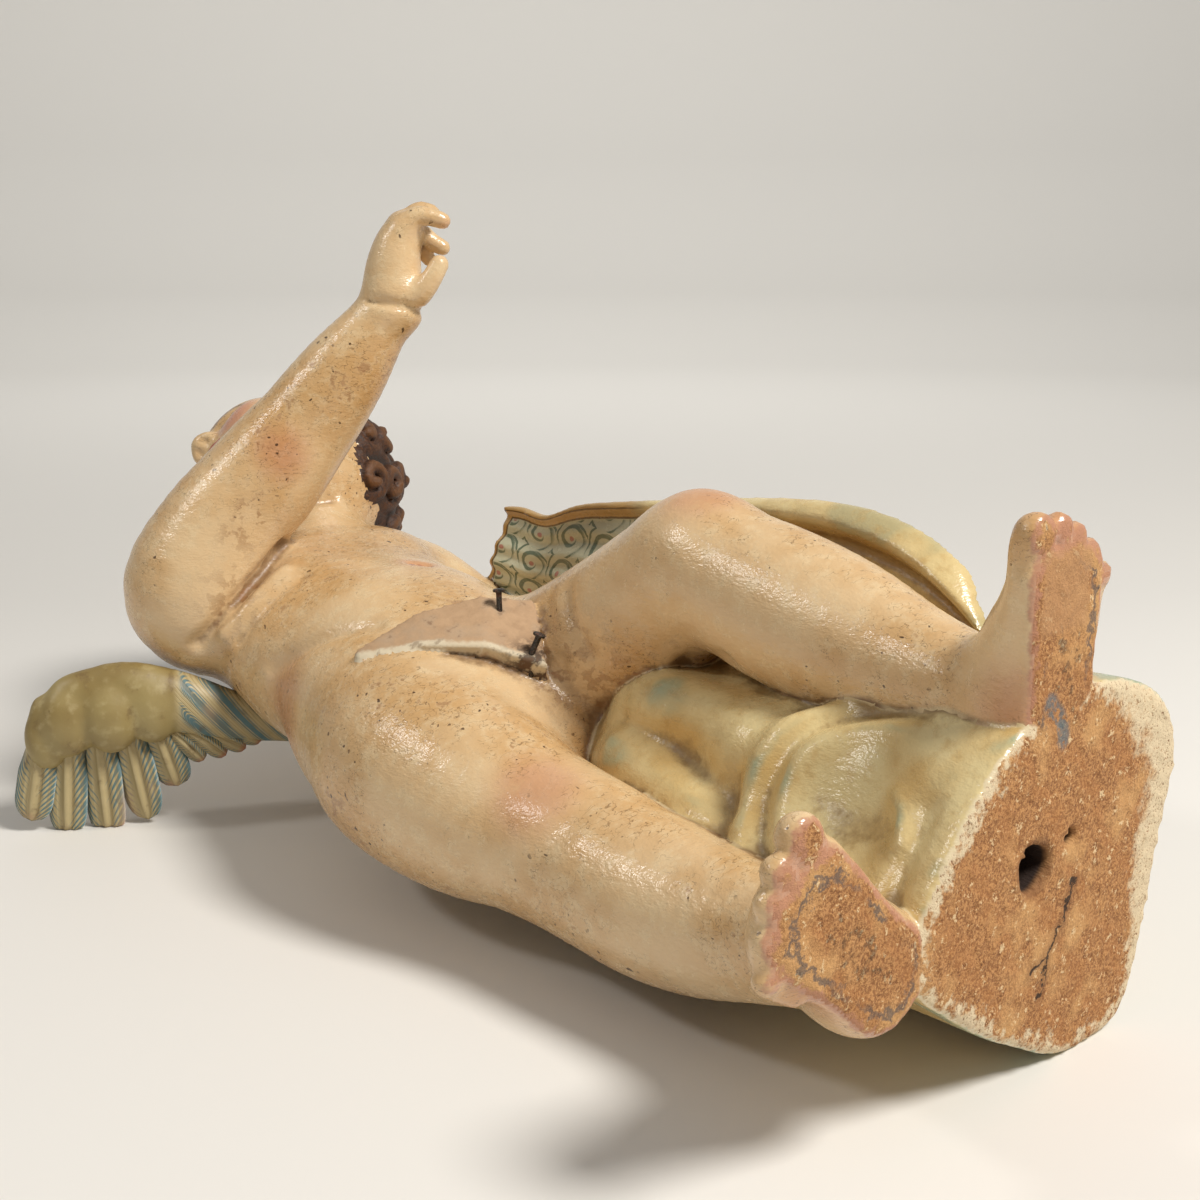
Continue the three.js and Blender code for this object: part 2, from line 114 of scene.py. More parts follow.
class Block:
    def __init__(self, low, high, pitch):
        self.low, self.pitch = np.array(low, float), pitch
        self.count = np.ceil((np.array(high) - self.low) / pitch).astype(int) + 1
        self.lines = [(self.low[i] + pitch * np.arange(self.count[i])).astype(np.float32) for i in range(3)]

    def blank(self):
        return np.full(self.count, FAR, np.float32)

    def window(self, low, high):
        first = np.clip(np.floor((np.asarray(low) - self.low) / self.pitch).astype(int), 0, self.count)
        last = np.clip(np.ceil((np.asarray(high) - self.low) / self.pitch).astype(int) + 1, 0, self.count)
        cut = tuple(slice(a, b) for a, b in zip(first, last))
        return cut, np.ix_(*(line[part] for line, part in zip(self.lines, cut)))

    def tube(self, stations, side=LEFT, steps=5, reach=15):
        """A limb through stations of x, y, z, half width and half depth, with side across its width."""
        line = through(stations, steps)
        spread = line[:, 3:].max() + reach
        cut, _ = self.window(line[:, :3].min(0) - spread, line[:, :3].max(0) + spread)
        near = np.full([part.stop - part.start for part in cut], FAR, np.float32)
        for a, b in zip(line, line[1:]):
            along = b[:3] - a[:3]
            length = np.linalg.norm(along)
            along = along / length
            across = unit(side - along * (side @ along))
            deep = np.cross(along, across)
            part, (x, y, z) = self.window(np.minimum(a, b)[:3] - spread, np.maximum(a, b)[:3] + spread)
            x, y, z = x - a[0], y - a[1], z - a[2]
            w = x * along[0] + y * along[1] + z * along[2]
            u = x * across[0] + y * across[1] + z * across[2]
            v = x * deep[0] + y * deep[1] + z * deep[2]
            t = np.clip(w / length, 0, 1)
            wide = a[3] + (b[3] - a[3]) * t
            thick = a[4] + (b[4] - a[4]) * t
            least = np.minimum(wide, thick)
            w = w - t * length
            size = np.sqrt((u / wide) ** 2 + (v / thick) ** 2 + (w / least) ** 2)
            slope = np.sqrt((u / wide**2) ** 2 + (v / thick**2) ** 2 + (w / least**2) ** 2) + 1e-5
            inner = tuple(slice(p.start - c.start, p.stop - c.start) for p, c in zip(part, cut))
            near[inner] = np.minimum(near[inner], size * (size - 1) / slope)
        return cut, near

    def egg(self, centre, radii, axes=WORLD, reach=14):
        centre, radii = np.asarray(centre, float), np.asarray(radii, float)
        spread = radii.max() + reach
        cut, (x, y, z) = self.window(centre - spread, centre + spread)
        size = slope = 0
        for axis, radius in zip(axes, radii):
            along = (x - centre[0]) * axis[0] + (y - centre[1]) * axis[1] + (z - centre[2]) * axis[2]
            size = size + (along / radius) ** 2
            slope = slope + (along / radius**2) ** 2
        size = np.sqrt(size)
        return cut, size * (size - 1) / (np.sqrt(slope) + 1e-5)

    def thread(self, points, spread):
        """The distance to a line of points, near that line."""
        line = np.array(points, float)
        cut, (x, y, z) = self.window(line.min(0) - spread, line.max(0) + spread)
        near = np.full([part.stop - part.start for part in cut], 1e6, np.float32)
        for a, b in zip(line, line[1:]):
            along = b - a
            t = ((x - a[0]) * along[0] + (y - a[1]) * along[1] + (z - a[2]) * along[2]) / (along @ along)
            t = np.clip(t, 0, 1)
            gaps = [value - a[i] - t * along[i] for i, value in enumerate((x, y, z))]
            near = np.minimum(near, gaps[0] ** 2 + gaps[1] ** 2 + gaps[2] ** 2)
        return cut, np.sqrt(near)

    def press(self, field, points, depth, width):
        """Presses a soft groove into a field along a line; a negative depth raises a ridge."""
        cut, near = self.thread(points, 3 * width)
        field[cut] += depth * np.exp(-((near / width) ** 2))

    def sample(self, field, points):
        """The field's value at any points, between the points of the grid."""
        place = np.clip((points - self.low) / self.pitch, 0, self.count - 1.001)
        first = place.astype(int)
        part = place - first
        total = np.zeros(len(points))
        for corner in np.ndindex(2, 2, 2):
            weight = np.prod(np.where(np.array(corner), part, 1 - part), axis=1)
            i, j, k = (first + corner).T
            total += weight * field[i, j, k]
        return total

    def skin(self, field, name):
        """The surface where the distance is zero, as a mesh in the carver's millimetres."""
        band = 3 * self.pitch
        grid = openvdb.FloatGrid(band)
        grid.copyFromArray(np.clip(field, -band, band).astype(np.float32))
        points, triangles, quads = grid.convertToPolygons(isovalue=0.0, adaptivity=0.0)
        points = points * self.pitch + self.low
        a, b, c, d = (points[quads[:, i]] for i in range(4))
        if np.einsum("ij,ij->", a, np.cross(b, c) + np.cross(c, d)) < 0:
            quads = quads[:, ::-1]
        mesh = bpy.data.meshes.new(name)
        mesh.from_pydata(points, [], quads.tolist())
        return mesh


def add(field, shape, blend=6.0):
    cut, near = shape
    field[cut] = soft(field[cut], near, blend)


PITCH = 1.55
wood = Block([-288, -158, -8], [258, 66, 278], PITCH)
skin = wood.blank()
print("grid points:", wood.count, "pitch in mm:", PITCH)

# %% [markdown]
# ## Trunk and legs
#
# Each limb follows a few stations: a point on its middle line with a half width and a half depth. The child's
# body is round and soft, so the unions are wide at the hips and narrower at the knees.

# %% Trunk and legs
TORSO = [
    [52, -62, 54, 40, 26], [24, -62, 58, 58, 42], [-8, -62, 63, 60, 45], [-40, -60, 68, 56, 44],
    [-75, -58, 71, 60, 44], [-105, -55, 77, 62, 41], [-130, -50, 84, 56, 35], [-148, -44, 94, 34, 27],
]
NECK = [[-130, -46, 92, 27, 25], [-152, -38, 102, 24, 23], [-175, -30, 114, 25, 24]]
RIGHT_THIGH = [
    [-8, -90, 58, 36, 40], [24, -99, 57, 38, 40], [58, -98, 52, 35, 37], [92, -93, 47, 28, 29],
    [116, -90, 45, 24, 25],
]
RIGHT_SHIN = [
    [100, -90, 44, 24, 26], [138, -88, 40, 26, 27], [165, -87, 40, 24, 25], [195, -89, 45, 19, 20],
    [218, -94, 51, 16, 17], [236, -96, 54, 16, 17],
]
LEFT_THIGH = [
    [0, -28, 66, 33, 35], [30, -24, 80, 35, 36], [60, -23, 100, 31, 34], [86, -24, 123, 26, 28],
    [102, -24, 137, 22, 23],
]
LEFT_SHIN = [
    [97, -24, 134, 23, 23], [128, -21, 126, 26, 27], [160, -19, 119, 25, 26], [190, -20, 114, 20, 21],
    [215, -23, 113, 17, 17], [236, -25, 113, 16, 16],
]
add(skin, wood.tube(TORSO))
add(skin, wood.egg([-112, -80, 98], [22, 24, 16]), 10)
add(skin, wood.egg([-112, -34, 102], [22, 24, 16]), 10)
add(skin, wood.egg([-40, -60, 84], [44, 42, 28]), 12)
add(skin, wood.egg([-26, -96, 62], [34, 26, 32]), 8)
add(skin, wood.tube(NECK), 10)
for thigh, shin in ((RIGHT_THIGH, RIGHT_SHIN), (LEFT_THIGH, LEFT_SHIN)):
    add(skin, wood.tube(thigh), 9)
    add(skin, wood.tube(shin), 9)
print("trunk and legs: thickest point is", -skin.min().round(1), "mm inside")

# %% [markdown]
# ## Feet
#
# Both soles lie on the plane of the saw cut, so a foot is a wedge lying against it with five short toes.
# The toes are spread by a rule: the big toe is thicker, and the others step back along a curve.

# %% Feet
FOOT_LENGTH = 74
FOOT_STATIONS = [[12, 10, 17, 18], [26, 9, 17, 20], [42, 6, 18, 15], [55, 5, 19, 10]]


def foot(field, heel, toes, inner):
    forward, inward = unit([0, *toes]), unit([0, *inner])
    start = np.array([SOLE, *heel])

    def place(ahead, aside, lift):
        return [*(start + ahead * forward + aside * inward - lift * WORLD[0])]

    sole = [[*place(ahead, 0, lift), wide, thick] for ahead, lift, wide, thick in FOOT_STATIONS]
    add(field, wood.tube(sole, inward), 9)
    for toe in range(5):
        radius = 6.6 if toe == 0 else 5.1 - 0.3 * toe
        aside = 13 - (0 if toe == 0 else 2.7 + 7.5 * toe)
        reach = FOOT_LENGTH - radius - 1.1 * toe * toe
        run = [[*place(reach - 15, aside * 0.9, 6), radius * 0.9, radius * 0.9],
               [*place(reach - 5, aside, 6), radius * 0.9, radius * 0.85],
               [*place(reach, aside, 4), radius, radius]]
        add(field, wood.tube(run, inward), 1.6)


foot(skin, [-90, 48], [-0.74, 0.67], [0.67, 0.74])
foot(skin, [-25, 99], [-0.02, 1], [-1, 0])
print("two feet,", FOOT_LENGTH, "mm long")

# %% [markdown]
# ## Arms and hands
#
# The right arm is raised with the hand hooked as if round a stem. Its palm is seen from the edge, so the
# fingers are set in a frame of their own: out of the palm, along the forearm and away from the viewer.

# %% Arms and hands
RIGHT_UPPER_ARM = [
    [-118, -88, 82, 28, 30], [-124, -115, 96, 31, 33], [-119, -106, 124, 27, 27], [-111, -88, 148, 23, 23],
    [-108, -81, 157, 20, 21],
]
RIGHT_FOREARM = [
    [-112, -86, 146, 22, 22], [-104, -70, 169, 22, 21], [-95, -56, 191, 19, 19], [-86, -44, 211, 14, 14],
    [-80, -37, 224, 12, 12],
]
LEFT_UPPER_ARM = [[-124, -16, 84, 28, 27], [-122, 0, 78, 27, 26], [-104, 18, 62, 24, 23], [-84, 24, 50, 20, 20]]
LEFT_FOREARM = [[-88, 24, 52, 21, 20], [-66, 26, 52, 20, 19], [-44, 24, 58, 15, 15], [-28, 22, 64, 12, 12]]
add(skin, wood.tube(RIGHT_UPPER_ARM), 7)
add(skin, wood.tube(RIGHT_FOREARM), 9)
add(skin, wood.tube(LEFT_UPPER_ARM, UP), 9)
add(skin, wood.tube(LEFT_FOREARM, UP), 9)

WRIST = np.array(RIGHT_FOREARM[-1][:3], float)
PALM_OUT, PALM_UP = unit([0.64, 0.77, 0]), unit([-0.04, 0.1, 0.99])
PALM_DEEP = -np.cross(PALM_OUT, PALM_UP)


def at_hand(out, high, deep):
    return WRIST + out * PALM_OUT + high * PALM_UP + deep * PALM_DEEP


def digit(stations, blend):
    add(skin, wood.tube([[*at_hand(*s[:3]), s[3], s[3]] for s in stations], PALM_DEEP), blend)


palm = [[0, -4, 0, 12, 12.5], [-1, 8, 0, 12.5, 12.5], [0, 20, 1, 13, 10.5], [3, 29, 2, 12, 8.5]]
add(skin, wood.tube([[*at_hand(*s[:3]), *s[3:]] for s in palm], PALM_DEEP), 5)
digit([[3, 28, -6, 4.8], [9, 34, -6, 4.3], [16, 33.5, -5.5, 3.8], [20, 32.3, -5, 3.6]], 2)
digit([[3, 30, 0.5, 4.8], [8, 36.5, 1, 4.2], [13, 37, 1.5, 3.7], [15.5, 35.5, 1.5, 3.4]], 2)
digit([[4, 27, 7, 4.6], [9, 29, 8, 4], [14, 25.5, 8.5, 3.7], [19, 22.5, 8.5, 3.5]], 2)
digit([[4, 22, 12, 4.2], [9, 22, 13, 3.6], [13, 18, 13, 3.2]], 2)
digit([[6, -2, -4, 6], [12, 2, -6.5, 5.2], [16.5, 8, -7, 4.5], [19.5, 14, -6, 4.1]], 3)

left_wrist = np.array(LEFT_FOREARM[-1][:3], float)
left_palm = [[0, 0, 0, 12, 11], [12, 2, 5, 13, 8], [24, 6, 10, 12, 6]]
add(skin, wood.tube([[*(left_wrist + s[:3]), *s[3:]] for s in left_palm], UP), 5)
for finger in range(4):
    high = 17 - 6.5 * finger
    run = [[22, 6, high, 4, 4], [32, 11, high + 2, 3.8, 3.8], [41, 15, high + 2, 3.2, 3.2]]
    add(skin, wood.tube([[*(left_wrist + s[:3]), *s[3:]] for s in run], UP), 2)
print("hand reaches", at_hand(20, 37, 0).round(0))

# %% [markdown]
# ## Head and face
#
# The head is thrown back and turned to its right. The face is a plain child's face on the usual proportions:
# eyes at half height, full cheeks, a short nose and a small mouth. It is built in the head's own frame, so
# that turning the head is a matter of two directions.

# %% Head and face
HEAD = np.array([-201.0, -24, 127])
FACE = unit([-0.3, -0.82, 0.48])
CROWN = unit(np.array([-0.92, 0.38, 0.08]) - FACE * (FACE @ np.array([-0.92, 0.38, 0.08])))
SIDE = np.cross(FACE, CROWN)
HEAD_AXES = (SIDE, FACE, CROWN)


def at_head(aside, ahead, high):
    return HEAD + aside * SIDE + ahead * FACE + high * CROWN


def head_egg(aside, ahead, high, radii, blend):
    add(skin, wood.egg(at_head(aside, ahead, high), radii, HEAD_AXES), blend)


def head_line(points):
    return [at_head(*p) for p in points]


head_egg(0, 0, 0, [43, 48, 52], 6)
head_egg(0, 23, 16, [33, 25, 27], 8)
head_egg(0, 24, -20, [33, 25, 27], 8)
head_egg(0, 42, -39, [10, 9, 8], 7)
head_egg(0, 27, -44, [20, 16, 10], 8)
for hand in (-1, 1):
    head_egg(21 * hand, 33, -20, [15, 13, 15], 9)
    wood.press(skin, head_line([[11 * hand, 47, 2], [21 * hand, 43, 2]]), 3.6, 6)
    head_egg(15.5 * hand, 38.5, 1, [9.5, 6.2, 5.6], 1.5)
    lid = [[8 * hand, 44.5, 1], [12 * hand, 46.2, 4.6], [17 * hand, 45.4, 5], [23 * hand, 41.4, 1.4]]
    wood.press(skin, head_line(lid), -1.5, 1.8)
    head_egg(5 * hand, 50, -13.5, [4, 4, 3.6], 3)
    add(skin, wood.egg(at_head(44.5 * hand, -3, -9), [4, 8.5, 12.5], HEAD_AXES), 2)
    wood.press(skin, head_line([[49 * hand, -2, -14], [49 * hand, 0, -4]]), 3, 3)
nose = [[0, 45, 9, 4, 3.5], [0, 49, -3, 4.4, 4.2], [0, 52.5, -11, 5.6, 5]]
add(skin, wood.tube([[*at_head(*s[:3]), *s[3:]] for s in nose], SIDE), 5)
for hand in (-1, 1):
    wood.press(skin, head_line([[2.8 * hand, 53.5, -16], [3.4 * hand, 52, -16]]), 2.4, 1.5)
upper_lip = [[-9, 45, -25.4], [-4, 48.6, -23.4], [0, 48.8, -24], [4, 48.6, -23.4], [9, 45, -25.4]]
lower_lip = [[-7, 45.6, -28.4], [0, 48.8, -29.4], [7, 45.6, -28.4]]
mouth = [[-10, 45, -26], [0, 49.8, -26.2], [10, 45, -26]]
for line, depth, width in ((upper_lip, -2.2, 2.4), (lower_lip, -2.8, 2.6), (mouth, 2.2, 1.3)):
    wood.press(skin, head_line(line), depth, width)
print("head turned to", FACE.round(2))

# %% [markdown]
# ## Hair
#
# The hair is carved as a cap of thick curls, each a snail of one turn and a half. A rule sets them in rings
# round the crown, and a seeded draw gives each its own turn and size. The cap stops at a sloping hairline.

# %% Hair
hair = wood.blank()
draw = np.random.default_rng(7)
HAIR_SLOPE, HAIR_LINE = 0.75, 4
cut, cap = wood.egg(at_head(0, -7, 7), [45, 47, 52], HEAD_AXES)
_, (x, y, z) = wood.window(*[at_head(0, -7, 7) + sign * (52 + 14) for sign in (-1, 1)])
ahead = (x - HEAD[0]) * FACE[0] + (y - HEAD[1]) * FACE[1] + (z - HEAD[2]) * FACE[2]
high = (x - HEAD[0]) * CROWN[0] + (y - HEAD[1]) * CROWN[1] + (z - HEAD[2]) * CROWN[2]
hair[cut] = np.maximum(cap, (ahead - HAIR_SLOPE * high - HAIR_LINE) / math.hypot(1, HAIR_SLOPE))


def curl(out, size, turn, hand):
    """A snail of hair on the head, lying flat against it round the direction out."""
    radius = 1 / np.linalg.norm([(out @ axis) / r for axis, r in zip(HEAD_AXES, (45, 47, 52))])
    middle = at_head(0, -7, 7) + out * radius
    first = unit(np.cross(out, unit([0.3, 0.5, 0.8])))
    second = np.cross(out, first)
    stations = []
    for step in np.linspace(0, 1, 9):
        angle = turn + hand * step * 3 * math.pi
        swing = size * (1 - 0.82 * step)
        spot = middle + swing * (math.cos(angle) * first + math.sin(angle) * second)
        spot = spot + out * (5.5 * step - 0.02 * swing * swing - 1)
        thick = 4.6 - 1.6 * step
        stations.append([*spot, thick, thick])
    return wood.tube(stations, out, 2, 6)


locks = 0
for tilt, count in ((72, 4), (44, 9), (18, 12), (-8, 12), (-32, 9), (-50, 6)):
    for k in range(count):
        lean = math.radians(tilt + draw.uniform(-6, 6))
        round_ = 2 * math.pi * (k + draw.uniform(-0.2, 0.2)) / count
        turn, size, hand = draw.uniform(0, 6.28), draw.uniform(9.5, 12.5), draw.choice([-1, 1])
        out = (math.cos(lean) * (math.sin(round_) * SIDE - math.cos(round_) * FACE) + math.sin(lean) * CROWN)
        spot = at_head(0, -7, 7) + out * 48 - HEAD
        if spot @ FACE - HAIR_SLOPE * (spot @ CROWN) > HAIR_LINE - 4:
            continue
        add(hair, curl(unit(out), size, turn, hand), 1.2)
        locks += 1
print("curls:", locks)

# %% [markdown]
# ## The folded cloth behind the legs
#
# The cloth fills the space between the legs and runs down to the base. Round each level it is a closed
# outline, the base's own at the saw cut and a smaller round one under the seat, so its distance is read in
# polar form. A hollow with ring-shaped ridges lies beside the right foot.

# %% The folded cloth
BASE_OUTLINE = [
    [-86, 49], [-70, 33], [-47, 18], [-18, 3], [6, 0], [22, 5], [31, 30],
    [37, 62], [42, 90], [28, 110], [-8, 120], [-44, 112], [-70, 90], [-84, 70],
]
MIDDLE, TOP = np.array([-22.0, 60]), [-18, 50, 48, 46]
CLOTH_LOW, CLOTH_HIGH = SOLE + 6, 40
cloth = wood.blank()
ring = through(BASE_OUTLINE[-2:] + BASE_OUTLINE + BASE_OUTLINE[:3], 8) - MIDDLE
ring_angle = np.arctan2(ring[:, 1], ring[:, 0])
order = np.argsort(ring_angle)
cut, (x, y, z) = wood.window([CLOTH_HIGH - 12, -115, -8], [SOLE + 8, 66, 150])
t = (CLOTH_LOW - x) / (CLOTH_LOW - CLOTH_HIGH)
ease, narrow = rise(t, 0.02, 0.75), 1 - 0.4 * rise(t, 0.7, 1)
middle_y = MIDDLE[0] + (TOP[0] - MIDDLE[0]) * ease
middle_z = MIDDLE[1] + (TOP[1] - MIDDLE[1]) * ease
angle = np.arctan2(z - middle_z, y - middle_y)
at_base = np.interp(angle, ring_angle[order], np.hypot(*ring[order].T), period=2 * math.pi)
wide, deep = TOP[2] * narrow, TOP[3] * narrow
at_top = wide * deep / np.sqrt((deep * np.cos(angle)) ** 2 + (wide * np.sin(angle)) ** 2)
around = at_base + (at_top - at_base) * ease
swell = 2.2 * np.sin(8 * angle + 5 * t) * np.sin(math.pi * np.clip(t, 0, 1))
body = 0.85 * (np.hypot(y - middle_y, z - middle_z) - around - swell)
cloth[cut] = np.maximum(body, CLOTH_HIGH - x)

BOWL = np.array([208.0, -68, 86])
apart = np.sqrt((x - BOWL[0]) ** 2 + (y - BOWL[1]) ** 2 + (z - BOWL[2]) ** 2)
away = rise(BOWL[0] + 10 - x, -12, 20)
hollow = 9 * np.exp(-((apart / 22) ** 2))
for radius, height, width in ((27, 2.2, 5.0), (35, -1.8, 4.0), (43, 2.0, 5.5), (54, -2.0, 5.0)):
    hollow = hollow - away * height * np.exp(-(((apart - radius) / width) ** 2))
cloth[cut] += hollow
add(cloth, wood.egg([104, -38, 80], [26, 14, 11]), 14)
FOLDS = [
    ([[96, -40, 88], [124, -44, 88], [150, -50, 84], [172, -58, 78], [190, -66, 70]], -3.0, 7),
    ([[92, -50, 78], [118, -54, 78], [142, -60, 72], [164, -66, 66]], 2.6, 6),
    ([[92, -60, 70], [116, -64, 66], [140, -70, 60]], -2.5, 7),
    ([[218, -64, 90], [224, -68, 88], [232, -74, 82]], -2.4, 4),
    ([[235, -68, 91], [235, -75, 80], [236, -82, 69]], 3.2, 4),
]
for line, depth, width in FOLDS:
    wood.press(cloth, line, depth, width)
print("cloth reaches down to", round(float(CLOTH_LOW), 1))

# %% [markdown]
# ## The cloth that flies free
#
# On the figure's left a thin sheet of the same cloth runs from the chest to the calf. It is a wall of even
# thickness over a surface of two numbers, along and up. Long pleats deepen towards its far end, where they
# end in rounded lobes, and its lower edge tucks in against the body.

# %% The free cloth
SHEET_FROM, SHEET_RUN, SHEET_THICK = -112.0, 278.0, 6.5


def sheet_frame(x, z):
    u = (x - SHEET_FROM) / SHEET_RUN
    top = 121 + 41 * u - 27 * np.clip(u, 0, 1.1) ** 8 - 5 * np.exp(-(((u - 0.13) / 0.06) ** 2))
    low = 74 - 26 * u
    return u, (z - low) / (top - low), top, low


cut, (x, y, z) = wood.window([-126, -20, 30], [206, 66, 172])
u, v, top, low = sheet_frame(x, z)
uc, vc = np.clip(u, 0, 1.1), np.clip(v, 0, 1)
fold = np.sin(36 * vc + 2.5 * uc + 0.6)
pleat = (1.0 + 2.6 * rise(uc, 0.15, 0.8)) * fold + 2.4 * np.sin(9 * vc + 2 * uc)
tuck = 40 * (1 - vc) ** 2 * rise(uc, 0.12, 0.4)
lean = 34 + 10 * np.sin(math.pi * np.clip(uc, 0, 1)) + 8 * (vc - 0.5) - tuck
flare = 9 * (1 - rise(uc, 0.0, 0.16)) * (vc - 0.4)
wall = 0.8 * (np.abs(y - lean - pleat - flare) - SHEET_THICK / 2)
round_end = 26 * np.sqrt(np.clip(1 - (2 * vc - 1) ** 2, 0, 1)) * uc
lobes = 5 * np.abs(np.sin(18 * vc + 1.2)) - 2
end = x - (SHEET_FROM + SHEET_RUN + round_end + lobes)
start = SHEET_FROM + 5 * np.sin(3 * vc) - x
rim = np.maximum(np.maximum(end, start), np.maximum(z - top, low - z))
sheet = -soft(-wall, -rim, 3)
cloth[cut] = soft(cloth[cut], sheet, 4)
print("free cloth:", round(SHEET_RUN), "mm long")

# %% [markdown]
# ## The bare seat of the lost loincloth
#
# A flat wedge crosses from the right hip to the crotch. It was never meant to be seen: cloth was nailed over
# it. Three blocks side by side, each the space inside six planes, follow its twist.

# %% The seat
LOIN_SEAT = [
    [[4, -112, 94], [8, -113, 92], 12], [[10, -88, 106], [26, -94, 98], 14],
    [[20, -66, 111], [42, -78, 98], 16], [[30, -48, 109], [58, -63, 91], 18],
]
SINK, LOIN_PROUD = np.array([-0.45, 0.25, -0.86]), 3.4
seat = wood.blank()
cut, (x, y, z) = wood.window([-20, -130, 60], [75, -30, 125])
rings = []
for upper, lower, depth in LOIN_SEAT:
    a, b = (np.array(point, float) - LOIN_PROUD * SINK for point in (upper, lower))
    rings.append(np.array([a, b, b + depth * SINK, a + depth * SINK]))
for one, two in zip(rings, rings[1:]):
    heart = (one.mean(0) + two.mean(0)) / 2
    faces = [one, two] + [np.array([one[i], one[i - 1], two[i - 1], two[i]]) for i in range(4)]
    inside = -FAR
    for face in faces:
        normal = unit(np.cross(face[2] - face[0], face[3] - face[1]))
        normal = normal if normal @ (face.mean(0) - heart) > 0 else -normal
        level = normal @ face.mean(0)
        inside = np.maximum(inside, x * normal[0] + y * normal[1] + z * normal[2] - level)
    seat[cut] = np.minimum(seat[cut], inside - 0.4)
print("seat from", LOIN_SEAT[0][0], "to", LOIN_SEAT[-1][0])

# %% [markdown]
# ## Creases and dimples
#
# A few lines make soft flesh: the folds in front of the armpit, the crease round the wrist and above the hip,
# the navel, and the dimples at the knees. Each is pressed in along points on the surface.

# %% Creases
wood.press(skin, [[-101, -85, 119], [-96, -99, 108], [-92, -118, 95], [-100, -127, 82]], 4, 4)
wood.press(skin, [[-78, -88, 108], [-80, -104, 97], [-84, -116, 84]], 2.2, 4)
wood.press(skin, [[-88, -92, 112], [-87, -108, 98], [-91, -120, 86]], -2.4, 4)
ring_angles = np.linspace(0, 2 * math.pi, 17)
wrist_ring = [at_hand(12 * math.cos(a), -3 - 2 * math.cos(a), 12 * math.sin(a)) for a in ring_angles]
wood.press(skin, wrist_ring, 2.4, 2.2)
wood.press(skin, [[-57, -116, 78], [-41, -113, 86], [-27, -105, 94], [-8, -96, 101]], 2.6, 4)
wood.press(skin, [[-48, -52, 112], [-45, -48, 112], [-43, -50, 112]], 3.4, 3)
wood.press(skin, [[52, -48, 119], [60, -52, 110], [70, -52, 100]], 2.2, 4)
wood.press(skin, [[40, -50, 114], [47, -54, 106]], 1.6, 4)
wood.press(skin, [[96, -30, 98], [112, -38, 100], [128, -40, 106]], 3, 4)
wood.press(skin, [[118, -112, 46], [124, -108, 62], [126, -96, 70]], 1.6, 6)
wood.press(skin, [[-160, -62, 108], [-152, -50, 124], [-150, -34, 126]], 2, 4)
print("creases pressed in")

# %% [markdown]
# ## Joining and cutting
#
# Skin, hair, cloth and seat become one piece of wood. Then it is cut as the real one was: sawn flat through the
# soles, bored for a peg, and pocketed for the wings. The cut face keeps the slight roughness of end grain.

# %% Joining and cutting
PEG_HOLE, PILOT_HOLE = (-34, 69, 7.2, 30), (-16, 74, 2.7, 12)
WING_ARM = [
    [-14, 2, 9, 8], [4, 0, 9, 8], [25, -4, 11, 9], [50, -12, 14, 10], [73, -13, 17, 10], [98, -4, 14, 8],
]
POCKET_GAP = 0.6
WINGS = {
    "right": ([-88, -93, 43], [-0.47, -0.88, 0], [0, 0, -1]),
    "left": ([-84, -22, 30], [-0.5, 0.85, -0.05], [0.75, 0.36, -0.55]),
}
painted = soft(skin, cloth, 1.5)
painted = soft(painted, hair, 1.5)
painted = np.minimum(painted, seat)
solid = painted.copy()
cut, (x, y, z) = wood.window([SOLE - 40, -160, -8], [SOLE + 8, 66, 200])
grain = 0.22 * (np.sin(1.1 * y + 2 * np.sin(0.5 * z)) + np.sin(0.9 * z + 2 * np.sin(0.4 * y)))
solid[cut] = -soft(-solid[cut], SOLE - 0.4 - grain - x, 2.5)
for hole_y, hole_z, radius, depth in (PEG_HOLE, PILOT_HOLE):
    ragged = 0.8 * np.sin(3 * np.arctan2(z - hole_z, y - hole_y) + 1)
    bore = np.maximum(np.hypot(y - hole_y, z - hole_z) - radius - ragged * radius / 8, SOLE - depth - x)
    solid[cut] = np.maximum(solid[cut], -bore)


def wing_axes(span, chord):
    outward = unit(span)
    along = unit(np.array(chord) - outward * (outward @ np.array(chord)))
    return np.array([outward, along, np.cross(outward, along)])


for root, span, chord in WINGS.values():
    axes = wing_axes(span, chord)
    arm = [[*(np.array(root) + s * axes[0] + c * axes[1]), thick + POCKET_GAP, wide + POCKET_GAP]
           for s, c, wide, thick in WING_ARM[:3]]
    cut, near = wood.tube(arm, axes[2])
    solid[cut] = np.maximum(solid[cut], -near)
_, (x, y, z) = wood.window([-300, -200, -20], [300, 200, 300])
solid = np.maximum(solid, 0.3 - z)
figure_mesh = wood.skin(solid, "cherub")
print("figure:", len(figure_mesh.polygons), "faces before thinning")

# %% [markdown]
# ## Thinning the mesh
#
# The grid gives even faces everywhere, more than a smooth thigh needs and just enough for a finger. Decimate
# spends the allowed number of faces where the surface bends most.

# %% Thinning
FACE_LIMIT = 190_000


def plain_mesh(obj):
    """The object's mesh with its modifiers applied and then removed."""
    graph = bpy.context.evaluated_depsgraph_get()
    made = bpy.data.meshes.new_from_object(obj.evaluated_get(graph))
    obj.modifiers.clear()
    obj.data = made
    return obj


def piece(name, mesh):
    obj = bpy.data.objects.new(name, mesh)
    bpy.context.scene.collection.objects.link(obj)
    return obj


